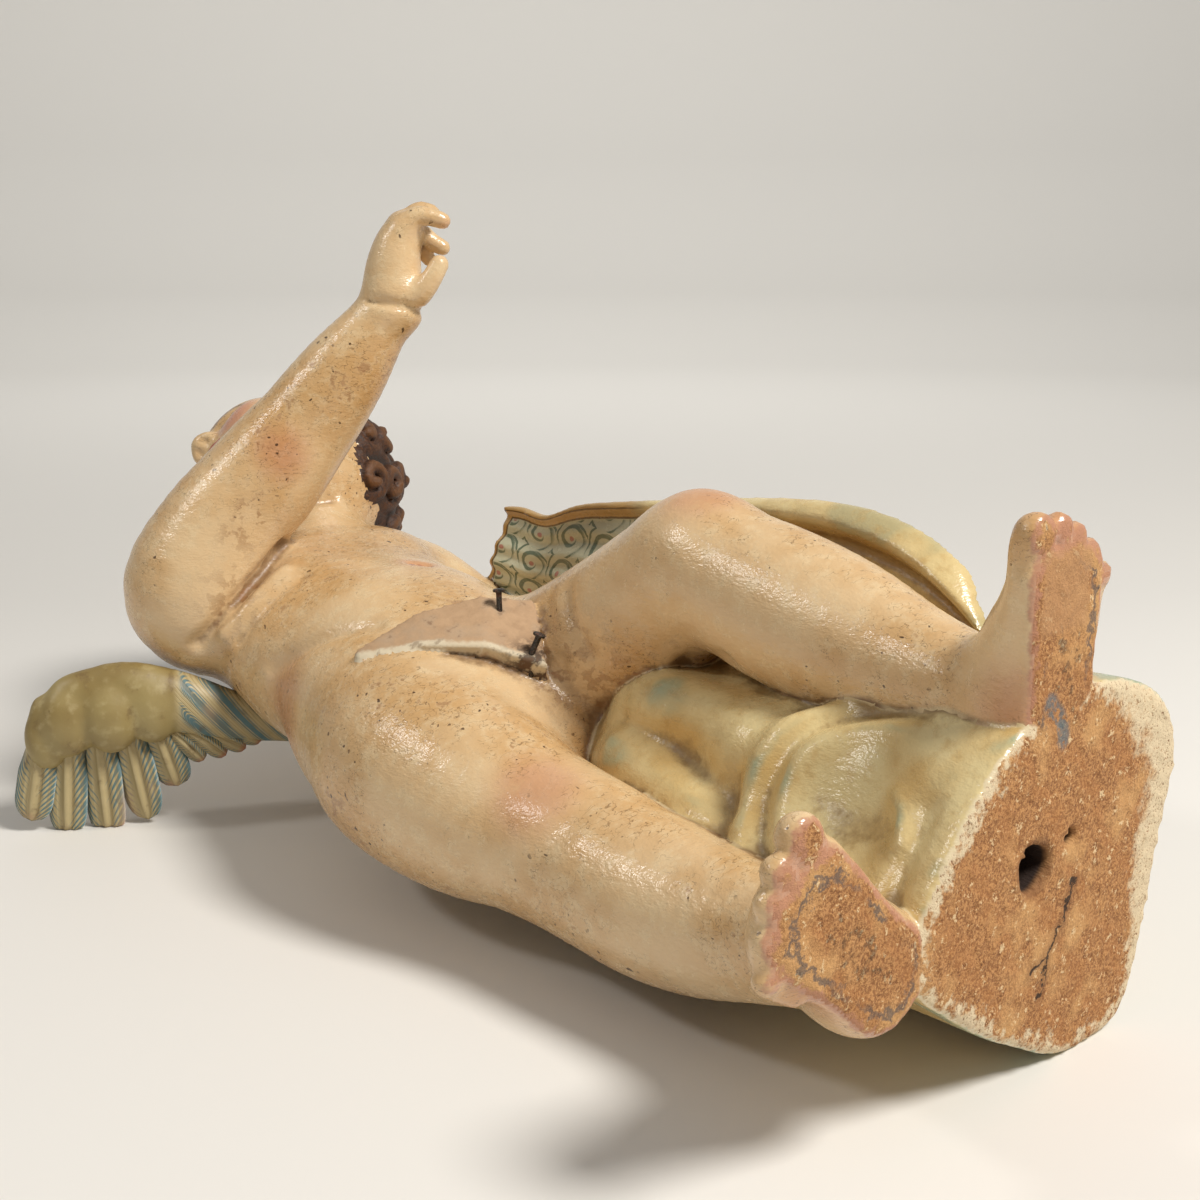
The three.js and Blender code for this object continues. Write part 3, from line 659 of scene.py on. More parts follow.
cherub = piece("cherub_carving", figure_mesh)
triangles = 2 * len(figure_mesh.polygons)
if triangles > FACE_LIMIT:
    thin = cherub.modifiers.new("thin", "DECIMATE")
    thin.ratio = FACE_LIMIT / triangles
    plain_mesh(cherub)
cherub.data.polygons.foreach_set("use_smooth", [True] * len(cherub.data.polygons))
cherub.data.set_sharp_from_angle(angle=math.radians(55))
corners = np.zeros(3 * len(cherub.data.vertices), np.float32)
cherub.data.vertices.foreach_get("co", corners)
carved = corners.reshape(-1, 3).astype(float)
cherub.data.vertices.foreach_set("co", to_frame(carved).astype(np.float32).ravel())
cherub.data.update()
print("figure:", len(cherub.data.polygons), "faces")

# %% [markdown]
# ## Marks for the painter
#
# The paint needs to know what lies where. Each vertex gets how far it is on the cloth's side of its border,
# how deep it lay in the wood before the cut, how deep in a hollow, where blush and soil go, and its place on
# the head and on the free cloth. Distances make sharper borders than masks, because they stay straight between
# vertices.

# %% Marks
flat_edges = np.zeros(2 * len(cherub.data.edges), np.int32)
cherub.data.edges.foreach_get("vertices", flat_edges)
edges = flat_edges.reshape(-1, 2)
normals = np.zeros(3 * len(carved), np.float32)
cherub.data.vertices.foreach_get("normal", normals)
normals = normals.reshape(-1, 3)


def neighbours_mean(values):
    total = np.zeros_like(values)
    for column in range(values.shape[1]):
        total[:, column] = np.bincount(edges[:, 0], values[edges[:, 1], column], len(values))
        total[:, column] += np.bincount(edges[:, 1], values[edges[:, 0], column], len(values))
    links = np.bincount(edges.ravel(), minlength=len(values))
    return total / np.maximum(links, 1)[:, None]


smooth = carved.copy()
for _ in range(14):
    smooth = neighbours_mean(smooth)
hollow = ((smooth - carved) * normals).sum(1)
for _ in range(3):
    hollow = neighbours_mean(hollow[:, None])[:, 0]

BLUSH = [
    ([106, -104, 66], 19), ([-38, -118, 66], 24), ([-92, -88, 160], 15), ([101, -26, 160], 20),
    ([-47, -50, 112], 12), ([250, -60, 60], 14), ([250, -118, 66], 26), ([246, -38, 116], 18),
    ([246, -24, 172], 22), ([-58, -20, 250], 10),
]
SOIL = [
    ([-91, -102, 137], 12), ([-96, -108, 128], 10), ([72, -42, 92], 20), ([58, -48, 100], 14),
    ([98, -30, 96], 16), ([-98, -112, 100], 16), ([56, -58, 84], 14),
]


def patches(spots):
    total = np.zeros(len(carved))
    for spot, size in spots:
        total = np.maximum(total, np.exp(-(((carved - spot) ** 2).sum(1)) / size**2))
    return total


depths = {name: wood.sample(field, carved) for name, field in
          (("skin", skin), ("hair", hair), ("cloth", cloth), ("seat", seat), ("painted", painted))}


head_place = np.stack([(carved - HEAD) @ axis for axis in HEAD_AXES], 1)
u, v, _, _ = sheet_frame(carved[:, 0], carved[:, 2])
sheet_lean = 34 + 10 * np.sin(math.pi * np.clip(u, 0, 1))
on_sheet = (carved[:, 1] > sheet_lean - 40) & (u > -0.1) & (u < 1.15) & (v > 0)


def mark(obj, name, kind, values):
    layer = obj.data.attributes.new(name, kind, "POINT")
    layer.data.foreach_set("vector" if kind == "FLOAT_VECTOR" else "color", values.astype(np.float32).ravel())


cloth_border = np.minimum.reduce([depths[name] for name in ("skin", "hair", "seat")]) - depths["cloth"]
cloth_border, depth = np.clip(cloth_border, -20, 20), np.clip(-depths["painted"], -5, 40)
mark(cherub, "borders", "FLOAT_VECTOR", np.stack([cloth_border, depth, 0 * depth], 1))
# The first channel, how deep a point lies in a hollow, drives the painted shade in creases; the others carry
# blush, the free cloth and soil.
mark(cherub, "hollow_shade_blush_soil", "FLOAT_COLOR", np.stack([hollow, patches(BLUSH), on_sheet * 1.0, patches(SOIL)], 1))
mark(cherub, "head_place", "FLOAT_VECTOR", head_place)
mark(cherub, "sheet_place", "FLOAT_VECTOR", np.stack([u * SHEET_RUN, v * 80, 0 * u], 1))
print("hollows from", hollow.min().round(2), "to", hollow.max().round(2), "mm")

# %% [markdown]
# ## Paint as arithmetic
#
# A finish is built from many small sums: a speck here, a stain there, less of it on the high places. Writing
# these as node calls hides the sum, so one small class wraps a socket and lets plain operators add the nodes.


# %% Paint as arithmetic
class Shade:
    """One value of a material's node tree."""

    def __init__(self, tree, socket=None):
        self.tree, self.socket = tree, socket

    def node(self, kind, settings=None, sockets=None, out=0):
        made = self.tree.nodes.new(kind)
        for name, value in (settings or {}).items():
            setattr(made, name, value)
        for key, value in (sockets or {}).items():
            if isinstance(value, Shade):
                self.tree.links.new(value.socket, made.inputs[key])
            else:
                made.inputs[key].default_value = value
        return Shade(self.tree, made.outputs[out])

    def maths(self, operation, a, b=0.0):
        return self.node("ShaderNodeMath", {"operation": operation}, {0: a, 1: b})

    def __add__(self, other):
        return self.maths("ADD", self, other)

    def __sub__(self, other):
        return self.maths("SUBTRACT", self, other)

    def __rsub__(self, other):
        return self.maths("SUBTRACT", other, self)

    def __mul__(self, other):
        return self.maths("MULTIPLY", self, other)

    def __truediv__(self, other):
        return self.maths("DIVIDE", self, other)

    __radd__ = __add__
    __rmul__ = __mul__

    def least(self, other):
        return self.maths("MINIMUM", self, other)

    def most(self, other):
        return self.maths("MAXIMUM", self, other)

    def size(self):
        return self.maths("ABSOLUTE", self)

    def wave(self):
        return self.maths("SINE", self)

    def rise(self, low, high):
        """0 below low, 1 above high and smooth between; falls where low is the larger."""
        return self.node("ShaderNodeMapRange", {"interpolation_type": "SMOOTHSTEP"},
                         {"Value": self, "From Min": low, "From Max": high})

    def mix(self, under, over):
        """The colour under, covered by the colour over as far as this value says."""
        return self.node("ShaderNodeMix", {"data_type": "RGBA"}, {0: self, 6: under, 7: over}, 2)

    def stretch(self, x, y, z):
        return self.node("ShaderNodeVectorMath", {"operation": "MULTIPLY"}, {0: self, 1: (x, y, z)})

    def noise(self, scale, detail=2.0, rough=0.5, twist=0.0):
        return self.node("ShaderNodeTexNoise", {}, {
            "Vector": self, "Scale": scale, "Detail": detail, "Roughness": rough, "Distortion": twist})

    def parts(self):
        split = self.node("ShaderNodeSeparateXYZ", {}, {0: self})
        return [Shade(self.tree, split.socket.node.outputs[i]) for i in range(3)]

    def mark(self, name):
        found = self.node("ShaderNodeAttribute", {"attribute_name": name}, {}, "Color")
        split = self.node("ShaderNodeSeparateColor", {}, {0: found})
        values = [Shade(self.tree, split.socket.node.outputs[i]) for i in range(3)]
        return values + [Shade(self.tree, found.socket.node.outputs["Alpha"])]

    def line(self, other, points):
        """The distance from the place (self, other) to a line of points in that plane."""
        nearest = None
        for (ax, ay), (bx, by) in zip(points, points[1:]):
            dx, dy = bx - ax, by - ay
            t = ((self - ax) * (dx / (dx * dx + dy * dy)) + (other - ay) * (dy / (dx * dx + dy * dy)))
            t = t.most(0.0).least(1.0)
            p, q = self - ax - t * dx, other - ay - t * dy
            gap = p * p + q * q
            nearest = gap if nearest is None else nearest.least(gap)
        return nearest.maths("SQRT", nearest)


def tint(code):
    """A colour from its six hex digits, as light."""
    values = [int(code[i:i + 2], 16) / 255 for i in (0, 2, 4)]
    return (*[v / 12.92 if v <= 0.04045 else ((v + 0.055) / 1.055) ** 2.4 for v in values], 1.0)


def finish_tree(name):
    """A new material, its shader and the place on the piece in the carver's millimetres."""
    material = bpy.data.materials.new(name)
    material.use_nodes = True
    tree = material.node_tree
    coat = tree.nodes["Principled BSDF"]
    start = Shade(tree)
    place = start.node("ShaderNodeTexCoord", {}, {}, "Object")
    place = place.node("ShaderNodeVectorMath", {"operation": "MULTIPLY_ADD"}, {
        0: place, 1: (1000, 1000, 1000), 2: tuple(-SHIFT)})
    return material, coat, place


def feed(coat, **values):
    for name, value in values.items():
        coat.id_data.links.new(value.socket, coat.inputs[name.replace("_", " ")])


print("paint tools ready")

# %% [markdown]
# ## One finish for each kind of surface
#
# Flesh, face, cloth, hair, the bare seat and the sawn wood each get a finish of their own, so each stays short
# and quick to render. A face of the mesh takes the finish of the part it belongs to: the field that is deepest
# at its middle. Where two painted finishes meet, both paint the same line of gesso, which hides the join.

# %% Zones
ZONES = ["flesh", "face", "linen", "curls", "bare_seat", "end_grain"]
centres = np.zeros(3 * len(cherub.data.polygons), np.float32)
cherub.data.polygons.foreach_get("center", centres)
centres = 1000 * centres.reshape(-1, 3).astype(float) - SHIFT
found = np.stack([wood.sample(field, centres) for field in (skin, cloth, hair, seat)], 1)
zone = np.array([0, 2, 3, 4])[found.argmin(1)]
looking = (centres - HEAD) @ FACE
zone[(zone == 0) & (looking > 18) & (np.linalg.norm(centres - HEAD, axis=1) < 72)] = 1
in_hole = np.hypot(centres[:, 1] - PEG_HOLE[0], centres[:, 2] - PEG_HOLE[1]) < PEG_HOLE[2] + 2.5
in_hole |= np.hypot(centres[:, 1] - PILOT_HOLE[0], centres[:, 2] - PILOT_HOLE[1]) < PILOT_HOLE[2] + 1
zone[(centres[:, 0] > SOLE - 1.15) | (in_hole & (centres[:, 0] > SOLE - 34))] = 5
cherub.data.polygons.foreach_set("material_index", zone.astype(np.int32))
print("faces in each zone:", dict(zip(ZONES, np.bincount(zone, minlength=len(ZONES)).tolist())))

# %% [markdown]
# ## Flesh and face
#
# The old paint is cream, warmed by yellowed varnish, with a rose blush on knees, elbow, hip and feet. Dirt and
# painted shade lie in the hollows, a crescent of painted shade lines the navel, specks and fine hair-like
# cracks run over it, and the varnish shines in a crinkled way.
# Eyes, brows and lips are painted on. In the head's own measure an iris is a circle and a brow an arc, so each
# is a short sum on the place beside and above the middle of the face.


# %% Flesh and face
SOLE_EDGE, GESSO = "B98468", "E2D2B0"


def border_line(place, colour, fine, broad, cloth_side, rim_colour):
    """Dirt and bare primer along the border of flesh and cloth, and chips at the edge of the saw cut."""
    seam = (cloth_side.size() + (fine - 0.5) * 2.2).rise(1.3, 0.2)
    colour = (seam * 0.7).mix(colour, broad.rise(0.44, 0.56).mix(tint("6B4A28"), tint("D9C59C")))
    chip = (place.parts()[0] + (fine - 0.5) * 5).rise(SOLE - 2.6, SOLE - 1.3)
    return (chip * 0.85).mix(colour, tint(rim_colour))


def varnish(coat, place, fine, dull, crinkle_depth):
    feed(coat, Roughness=0.12 + fine * 0.26 + dull * 0.4)
    coat.inputs["Specular IOR Level"].default_value = 0.62
    crinkle = place.stretch(0.8, 0.6, 1.3).noise(0.5, 2, 0.7)
    relief = place.node("ShaderNodeBump", {}, {"Strength": 0.6, "Distance": crinkle_depth, "Height": crinkle})
    feed(coat, Normal=relief)


def painted_face(place, flesh):
    aside, _, high, _ = place.mark("head_place")
    beside = aside.size()
    across, level = beside - 15.5, high - 1.2
    spot = across * across + level * level
    eye = (across * across / 60 + level * level / 13).rise(1.05, 0.85)
    lash = beside.line(high, [(7, 0.6), (11, 4.2), (16.5, 5.2), (22.5, 2.2), (25, -0.5)]).rise(1.3, 0.5)
    brow = beside.line(high, [(7, 12), (13, 15), (21, 14.6), (28, 10)]).rise(1.9, 0.7)
    lips = (beside.line(high, [(0, -26.4), (4, -26), (9, -26)]) - beside.rise(10, 2) * 2.4).rise(1.0, 0.2)
    cheek = ((beside - 22) * (beside - 22) + (high + 19) * (high + 19)).rise(240, 20)
    for share, colour in ((cheek * 0.6, "C8705C"), (lips * 0.85, "A84B42"), (eye * 0.9, "E4DCC6"),
                          (spot.rise(11.5, 9.5) * eye * 0.95, "5B3B1E"), (spot.rise(2.8, 2.0) * eye, "14100C"),
                          ((lash + brow * 0.75).least(1.0) * 0.85, "4B3018")):
        flesh = share.mix(flesh, tint(colour))
    return flesh


def flesh_finish(name, with_face):
    material, coat, place = finish_tree(name)
    cloth_side, *_ = place.mark("borders")
    hollow_mark, blush_mark, _, soil_mark = place.mark("hollow_shade_blush_soil")
    broad, fine = place.noise(0.02, 3, 0.6), place.noise(0.17, 3, 0.65)
    flesh = broad.rise(0.34, 0.66).mix(tint("DDBE92"), tint("C9A06B"))
    flesh = (fine.rise(0.42, 0.7) * 0.5).mix(flesh, tint("E2CBA2"))
    rosy = (blush_mark * (0.5 + fine * 1.0)).rise(0.2, 0.95)
    flesh = (rosy * 0.45).mix(flesh, tint("BC6C4A"))
    # Darker brown in the hollows: partly dirt, partly painted shade, set by how deep each point lies in a
    # hollow.
    crease_dirt_and_shade = (hollow_mark.rise(0.1, 1.4) + (fine - 0.5) * 1.1 + (broad - 0.5) * 0.4).rise(0.22, 1.0)
    flesh = (crease_dirt_and_shade * 0.8).mix(flesh, tint("76522C"))
    hairs = (place.stretch(1.0, 0.5, 1.6).noise(0.3, 2) - 0.5).size().rise(0.016, 0.004)
    hairs = hairs * (broad + fine * 0.5).rise(0.66, 0.82)
    flesh = (hairs * 0.6).mix(flesh, tint("6A4A28"))
    specks = place.noise(0.42, 0).rise(0.79, 0.82) * (broad + fine * 0.4).rise(0.62, 0.76)
    stains = (fine + broad * 0.9).rise(1.13, 1.24).most(soil_mark * fine.rise(0.5, 0.6))
    flesh = (stains * 0.6).mix(flesh, tint("94602E"))
    flesh = (specks * 0.9).mix(flesh, tint("452B15"))
    if with_face:
        flesh = painted_face(place, flesh)
    else:
        px, py, pz = place.parts()
        # Painted shade: a dark red crescent along one rim of the carved navel dimple.
        navel_shade = px.line(py, [(-42, -56), (-47, -54), (-48, -49), (-44, -46)]).rise(1.5, 0.6) * pz.rise(80, 90)
        flesh = (navel_shade * 0.75).mix(flesh, tint("8E3B2A"))
    feed(coat, Base_Color=border_line(place, flesh, fine, broad, cloth_side, SOLE_EDGE))
    varnish(coat, place, fine, crease_dirt_and_shade * 0.5, 0.0005)
    return material


flesh_paint, face_paint = flesh_finish("flesh", False), flesh_finish("face", True)
print("flesh:", len(flesh_paint.node_tree.nodes), "nodes, face:", len(face_paint.node_tree.nodes))

# %% [markdown]
# ## Cloth
#
# The cloth is pale yellow turning to green on the ridges, with brown dirt and painted shade in its hollows. Its
# free corner has an ochre border with dark lines and a running scroll with small flowers, a pattern as old as
# brocade.


# %% Cloth
def repeat(value, period):
    """The place inside one repeat, measured from its middle."""
    share = value / period
    return (share - share.maths("FLOOR", share) - 0.5) * period


linen_paint, coat, place = finish_tree("linen")
cloth_side, *_ = place.mark("borders")
hollow_mark, _, sheet_mark, _ = place.mark("hollow_shade_blush_soil")
broad, fine = place.noise(0.028, 2, 0.6), place.noise(0.17, 3, 0.65)
linen = broad.rise(0.36, 0.64).mix(tint("DFCB96"), tint("CBAA6C"))
green = hollow_mark.rise(-0.2, -1.0) * broad.rise(0.46, 0.58) * (0.85 - sheet_mark * 0.45)
linen = green.mix(linen, tint("9BB097"))
linen = (fine.rise(0.45, 0.75) * 0.5).mix(linen, tint("BC9858"))
# Darker brown in the hollows: partly dirt, partly painted shade, set by how deep each point lies in a hollow.
crease_dirt_and_shade = (hollow_mark.rise(0.0, 1.3) + (fine - 0.5) * 1.3 + (broad - 0.5) * 0.6).rise(0.25, 1.1)
linen = (crease_dirt_and_shade * 0.7).mix(linen, tint("7A5A2E"))
run, up, *_ = place.mark("sheet_place")
corner = run.rise(112, 92) * sheet_mark.rise(0.4, 0.6)
edge = run.least(80 - up) + (fine - 0.5) * 0.8
inner = corner * edge.rise(9, 10.5)
linen = (corner * 0.85).mix(linen, tint("B4B8A0"))
swirl_x, swirl_y = repeat(run + (fine - 0.5) * 3, 23), repeat(up + run * 0.25, 21)
reach = swirl_x * swirl_x + swirl_y * swirl_y
reach = reach.maths("SQRT", reach)
turn = swirl_y.maths("ARCTAN2", swirl_y, swirl_x)
snail = (turn + reach * 0.8).wave().rise(0.35, 0.75) * reach.rise(11.5, 8.5) * reach.rise(2.4, 3.4)
leaf = (turn * 3 + reach * 1.1).wave().rise(0.55, 0.85) * reach.rise(8.5, 10)
linen = ((snail.most(leaf)) * inner * 0.85).mix(linen, tint("42573F"))
linen = (reach.rise(2.0, 1.3) * inner * 0.8).mix(linen, tint("A35A52"))
linen = (corner * edge.rise(9.5, 8.5) * 0.85).mix(linen, tint("B4873F"))
lines = (edge - 8.8).size().rise(0.9, 0.4).most((edge - 3.4).size().rise(0.7, 0.3))
linen = (corner * lines * 0.85).mix(linen, tint("4F3A1C"))
feed(coat, Base_Color=border_line(place, linen, fine, broad, cloth_side, GESSO))
varnish(coat, place, fine, crease_dirt_and_shade * 0.5, 0.0005)
print("linen:", len(linen_paint.node_tree.nodes), "nodes")

# %% [markdown]
# ## Hair
#
# The curls are dark brown, with painted shade almost black between the locks, and worn lighter where they stand
# out.

# %% Hair colour
curls_paint, coat, place = finish_tree("curls")
hollow_mark, *_ = place.mark("hollow_shade_blush_soil")
strands = place.noise(0.5, 3, 0.6, 1.5)
brown = strands.rise(0.35, 0.7).mix(tint("30190A"), tint("5A3518"))
# Painted shade: almost black in the hollows between the locks.
brown = (hollow_mark.rise(0.0, 0.9) * 0.8).mix(brown, tint("170E07"))
brown = (hollow_mark.rise(-0.4, -1.3) * 0.5).mix(brown, tint("7E5228"))
feed(coat, Base_Color=brown, Roughness=0.42 + strands * 0.25)
relief = place.node("ShaderNodeBump", {}, {"Strength": 0.6, "Distance": 0.0009, "Height": strands})
feed(coat, Normal=relief)
print("hair mixed")

# %% [markdown]
# ## Bare seat
#
# The seat shows dull greyish primer with rust round its nails, and white gesso along its lower edge.

# %% Seat colour
seat_paint, coat, place = finish_tree("bare_seat")
hollow_mark, *_ = place.mark("hollow_shade_blush_soil")
px, py, pz = place.parts()
fine, broad = place.noise(0.2, 4, 0.6), place.noise(0.05, 3, 0.6)
plaster = fine.rise(0.3, 0.8).mix(tint("BC9A76"), tint("A98866"))
plaster = (broad.rise(0.46, 0.62) * 0.5).mix(plaster, tint("B9A48A"))
plaster = ((px - (py + 112) * 0.98 - 7 + (fine - 0.5) * 8).rise(0.0, 3.0) * 0.85).mix(plaster, tint("DCCFB2"))
to_nail = place.node("ShaderNodeVectorMath", {"operation": "DISTANCE"}, {0: place, 1: (56, -66, 94)}, "Value")
plaster = ((to_nail + (fine - 0.5) * 22).rise(17, 7) * fine.rise(0.4, 0.56) * 0.9).mix(plaster, tint("3E2817"))
plaster = ((fine + broad).rise(1.12, 1.24) * 0.5).mix(plaster, tint("6E4A2A"))
# Painted shade: darker in the hollows where the seat meets the body.
plaster = (hollow_mark.rise(0.2, 1.2) * 0.8).mix(plaster, tint("4A321C"))
feed(coat, Base_Color=plaster, Roughness=0.55 + fine * 0.25)
relief = place.node("ShaderNodeBump", {}, {"Strength": 0.5, "Distance": 0.0008, "Height": fine})
feed(coat, Normal=relief)
print("seat mixed")

# %% [markdown]
# ## Sawn end grain
#
# The saw cut shows open pores as a fine stipple, faint growth rings, a check that runs in a Y, and gesso left
# round the rim. On the soles the flesh colour laps over the edge, with a dark line inside the toes.

# %% End grain
grain_paint, coat, place = finish_tree("end_grain")
cloth_side, depth, *_ = place.mark("borders")
px, py, pz = place.parts()
fine, broad = place.noise(0.22, 3, 0.65), place.noise(0.04, 2, 0.6)
pores = place.stretch(0.25, 1.0, 1.0).noise(1.1, 2, 0.75)
timber = pores.rise(0.36, 0.64).mix(tint("8A5A30"), tint("C08C57"))
rings_wave = (py * 0.3 + pz * 0.22 + broad * 9).wave()
timber = (rings_wave.rise(0.2, 0.9) * 0.3).mix(timber, tint("AE7440"))
timber = (broad.rise(0.48, 0.66) * 0.55).mix(timber, tint("D6A86E"))
timber = ((fine + pores * 0.6).rise(0.92, 1.02) * 0.8).mix(timber, tint("E2C79B"))
timber = ((pores - fine * 0.4).rise(0.13, 0.06) * 0.7).mix(timber, tint("53331A"))
on_foot = cloth_side.rise(0.5, -1.5)
right_rim = (py * 0.9 + pz * 0.2).rise(18, 36)
ragged_depth = depth + (fine - 0.5) * 26 + (broad - 0.5) * 14
white = ragged_depth.rise(5.0 + right_rim * 15, right_rim * 9.0) * (1 - on_foot)
timber = (white * pores.rise(0.28, 0.46) * 0.85).mix(timber, tint(GESSO))
lap = (depth + (fine - 0.5) * 6).rise(2.0, 0.8) * on_foot
timber = (lap * 0.85).mix(timber, tint(SOLE_EDGE))
dark_line = (depth - 4 + (fine - 0.5) * 9).size().rise(1.1, 0.2) * on_foot * broad.rise(0.42, 0.56)
timber = (dark_line * 0.7).mix(timber, tint("4B4A4C"))
worn = (depth - 13 + (fine - 0.5) * 22).size().rise(3.0, 0.5) * on_foot * fine.rise(0.44, 0.6)
timber = (worn * 0.6).mix(timber, tint("4F351E"))
ball = (py + 28 + (fine - 0.5) * 8).size().rise(13, 10) * pz.rise(136, 141) * pz.rise(164, 160)
timber = (ball * 0.7).mix(timber, tint("B78A5E"))
smear = py.line(pz, [(-32, 118), (-27, 112), (-24, 106)]) + (fine - 0.5) * 7
smear = smear.rise(4.5, 2.0) * fine.rise(0.4, 0.55)
timber = (smear * 0.7).mix(timber, tint("4E6A74"))
wander = (fine - 0.5) * 9
check = (py + wander).line(pz, [(-13, 60), (-17, 49), (-24, 39), (-27, 26)])
check = check.least((py + wander).line(pz, [(-24, 39), (-33, 35)]))
split = (check - (fine - 0.45) * 2.2).rise(0.7, 0.15)
timber = ((check + (fine - 0.5) * 3).rise(4.0, 0.5) * 0.4).mix(timber, tint("6E4524"))
timber = (split * 0.92).mix(timber, tint("2A1A0E"))
peg_y, peg_z = py - PEG_HOLE[0], pz - PEG_HOLE[1]
# Painted shade: the inside of the bored holes darkens to near black with depth.
hole_shade = px.rise(SOLE - 1.4, SOLE - 4)
timber = ((peg_y * peg_y + peg_z * peg_z + (fine - 0.5) * 60).rise(110, 60) * 0.55).mix(timber, tint("6B4322"))
timber = hole_shade.mix(timber, tint("2A180C"))
feed(coat, Base_Color=timber, Roughness=0.72 + fine * 0.2)
relief = place.node("ShaderNodeBump", {}, {"Strength": 0.6, "Distance": 0.0008, "Height": pores})
feed(coat, Normal=relief)
for paint in (flesh_paint, face_paint, linen_paint, curls_paint, seat_paint, grain_paint):
    cherub.data.materials.append(paint)
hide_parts("figure")
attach(cherub, "root")
print("end grain:", len(grain_paint.node_tree.nodes), "nodes")

# %% [markdown]
# ## Wings
#
# A wing is a smooth pad of small feathers with a row of broad flight feathers under it. The pad is carved like
# the body. The flight feathers repeat along the arm, so a Geometry Nodes tree sets one leaf-shaped feather on
# points of a line, turning and stretching it from the inner end to the outer one.

# %% One feather
FEATHER_ROWS, FEATHER_SIDES = 22, 14


def feather_mesh():
    """A closed leaf, one unit long and one wide, ribbed and grooved on both faces."""
    points, marks, faces = [], [], []
    for face in (1, -1):
        for i in range(FEATHER_ROWS + 1):
            along = i / FEATHER_ROWS
            tip = max(0.0, (along - 0.7) / 0.3)
            half = 0.5 * min(1.0, 0.62 + 0.9 * along) * math.sqrt(max(0.0, 1 - tip**2.4))
            for j in range(FEATHER_SIDES + 1):
                across = 2 * j / FEATHER_SIDES - 1
                crown = (1 - across**2) ** 0.5 * (0.75 + 0.25 * math.cos(3.2 * math.pi * across))
                crown *= math.sqrt(max(0.0, 1 - along**6))
                points.append((half * across, along, face * 0.5 * crown))
                marks.append((across, along, face))
    width = FEATHER_SIDES + 1
    sheet_size = width * (FEATHER_ROWS + 1)
    for face in (0, 1):
        for i in range(FEATHER_ROWS):
            for j in range(FEATHER_SIDES):
                a = face * sheet_size + i * width + j
                quad = [a, a + 1, a + width + 1, a + width]
                faces.append(quad if face == 0 else quad[::-1])
    for i in range(FEATHER_ROWS):
        for j, flip in ((0, True), (FEATHER_SIDES, False)):
            a = i * width + j
            quad = [a, a + sheet_size, a + sheet_size + width, a + width]
            faces.append(quad if not flip else quad[::-1])
    for j in range(FEATHER_SIDES):
        a = j
        faces.append([a, a + sheet_size, a + sheet_size + 1, a + 1])
        b = FEATHER_ROWS * width + j
        faces.append([b + 1, b + 1 + sheet_size, b + sheet_size, b])
    mesh = bpy.data.meshes.new("feather")
    mesh.from_pydata(points, [], faces)
    layer = mesh.attributes.new("feather_place", "FLOAT_VECTOR", "POINT")
    layer.data.foreach_set("vector", np.array(marks, np.float32).ravel())
    mesh.polygons.foreach_set("use_smooth", [True] * len(mesh.polygons))
    return mesh


print("feather:", len(feather_mesh().polygons), "faces")

# %% [markdown]
# ## A row of feathers
#
# The tree draws a curve through three points, puts feathers on it and turns each by its share of the way along.
# Its sizes are named inputs, so the long outer row and the short inner one come from the same tree.

# %% A row of feathers as a node tree
fan = bpy.data.node_groups.new("feather fan", "GeometryNodeTree")
fan.interface.new_socket("Geometry", in_out="INPUT", socket_type="NodeSocketGeometry")
fan_inputs = {}
FAN_SOCKETS = {
    "Int": ["Count"], "Vector": ["Start", "Middle", "End"], "Material": ["Material"],
    "Float": ["First Turn", "Last Turn", "First Length", "Last Length", "Swell", "Width", "Thickness", "Tilt"],
}
for kind, label in [(kind, label) for kind, labels in FAN_SOCKETS.items() for label in labels]:
    fan_inputs[label] = fan.interface.new_socket(
        label, in_out="INPUT", socket_type="NodeSocket" + kind).identifier
fan.interface.new_socket("Geometry", in_out="OUTPUT", socket_type="NodeSocketGeometry")
entry = Shade(fan, fan.nodes.new("NodeGroupInput").outputs[0])


def given(label):
    return Shade(fan, entry.socket.node.outputs[label])


arc = entry.node("GeometryNodeCurveQuadraticBezier", {}, {
    "Resolution": 24, "Start": given("Start"), "Middle": given("Middle"), "End": given("End")})
spots = entry.node("GeometryNodeCurveToPoints", {"mode": "COUNT"}, {"Curve": arc, "Count": given("Count")})
share = entry.node("GeometryNodeInputIndex") / (given("Count") - 1)
turn = given("First Turn") + (given("Last Turn") - given("First Turn")) * share
bow = (share * math.pi).wave() * given("Swell")
length = given("First Length") + (given("Last Length") - given("First Length")) * share + bow
tilted = entry.node("ShaderNodeCombineXYZ", {}, {0: 0.0, 1: given("Tilt"), 2: turn})
spin = entry.node("FunctionNodeEulerToRotation", {}, {0: tilted})
scale = entry.node("ShaderNodeCombineXYZ", {}, {0: given("Width"), 1: length, 2: given("Thickness")})
laid = entry.node("GeometryNodeInstanceOnPoints", {}, {
    "Points": spots, "Instance": Shade(fan, entry.socket), "Rotation": spin, "Scale": scale})
real = entry.node("GeometryNodeRealizeInstances", {}, {"Geometry": laid})
dressed = entry.node("GeometryNodeSetMaterial", {}, {"Geometry": real, "Material": given("Material")})
fan.links.new(dressed.socket, fan.nodes.new("NodeGroupOutput").inputs[0])
print("feather fan inputs:", list(fan_inputs))

# %% [markdown]
# ## Wing paint
#
# The pad is pale yellow. Each flight feather is cream with long grooves, hatched with blue towards its edges
# and touched with rose at the outer tips. The feather's own place, across and along, carries the hatching.

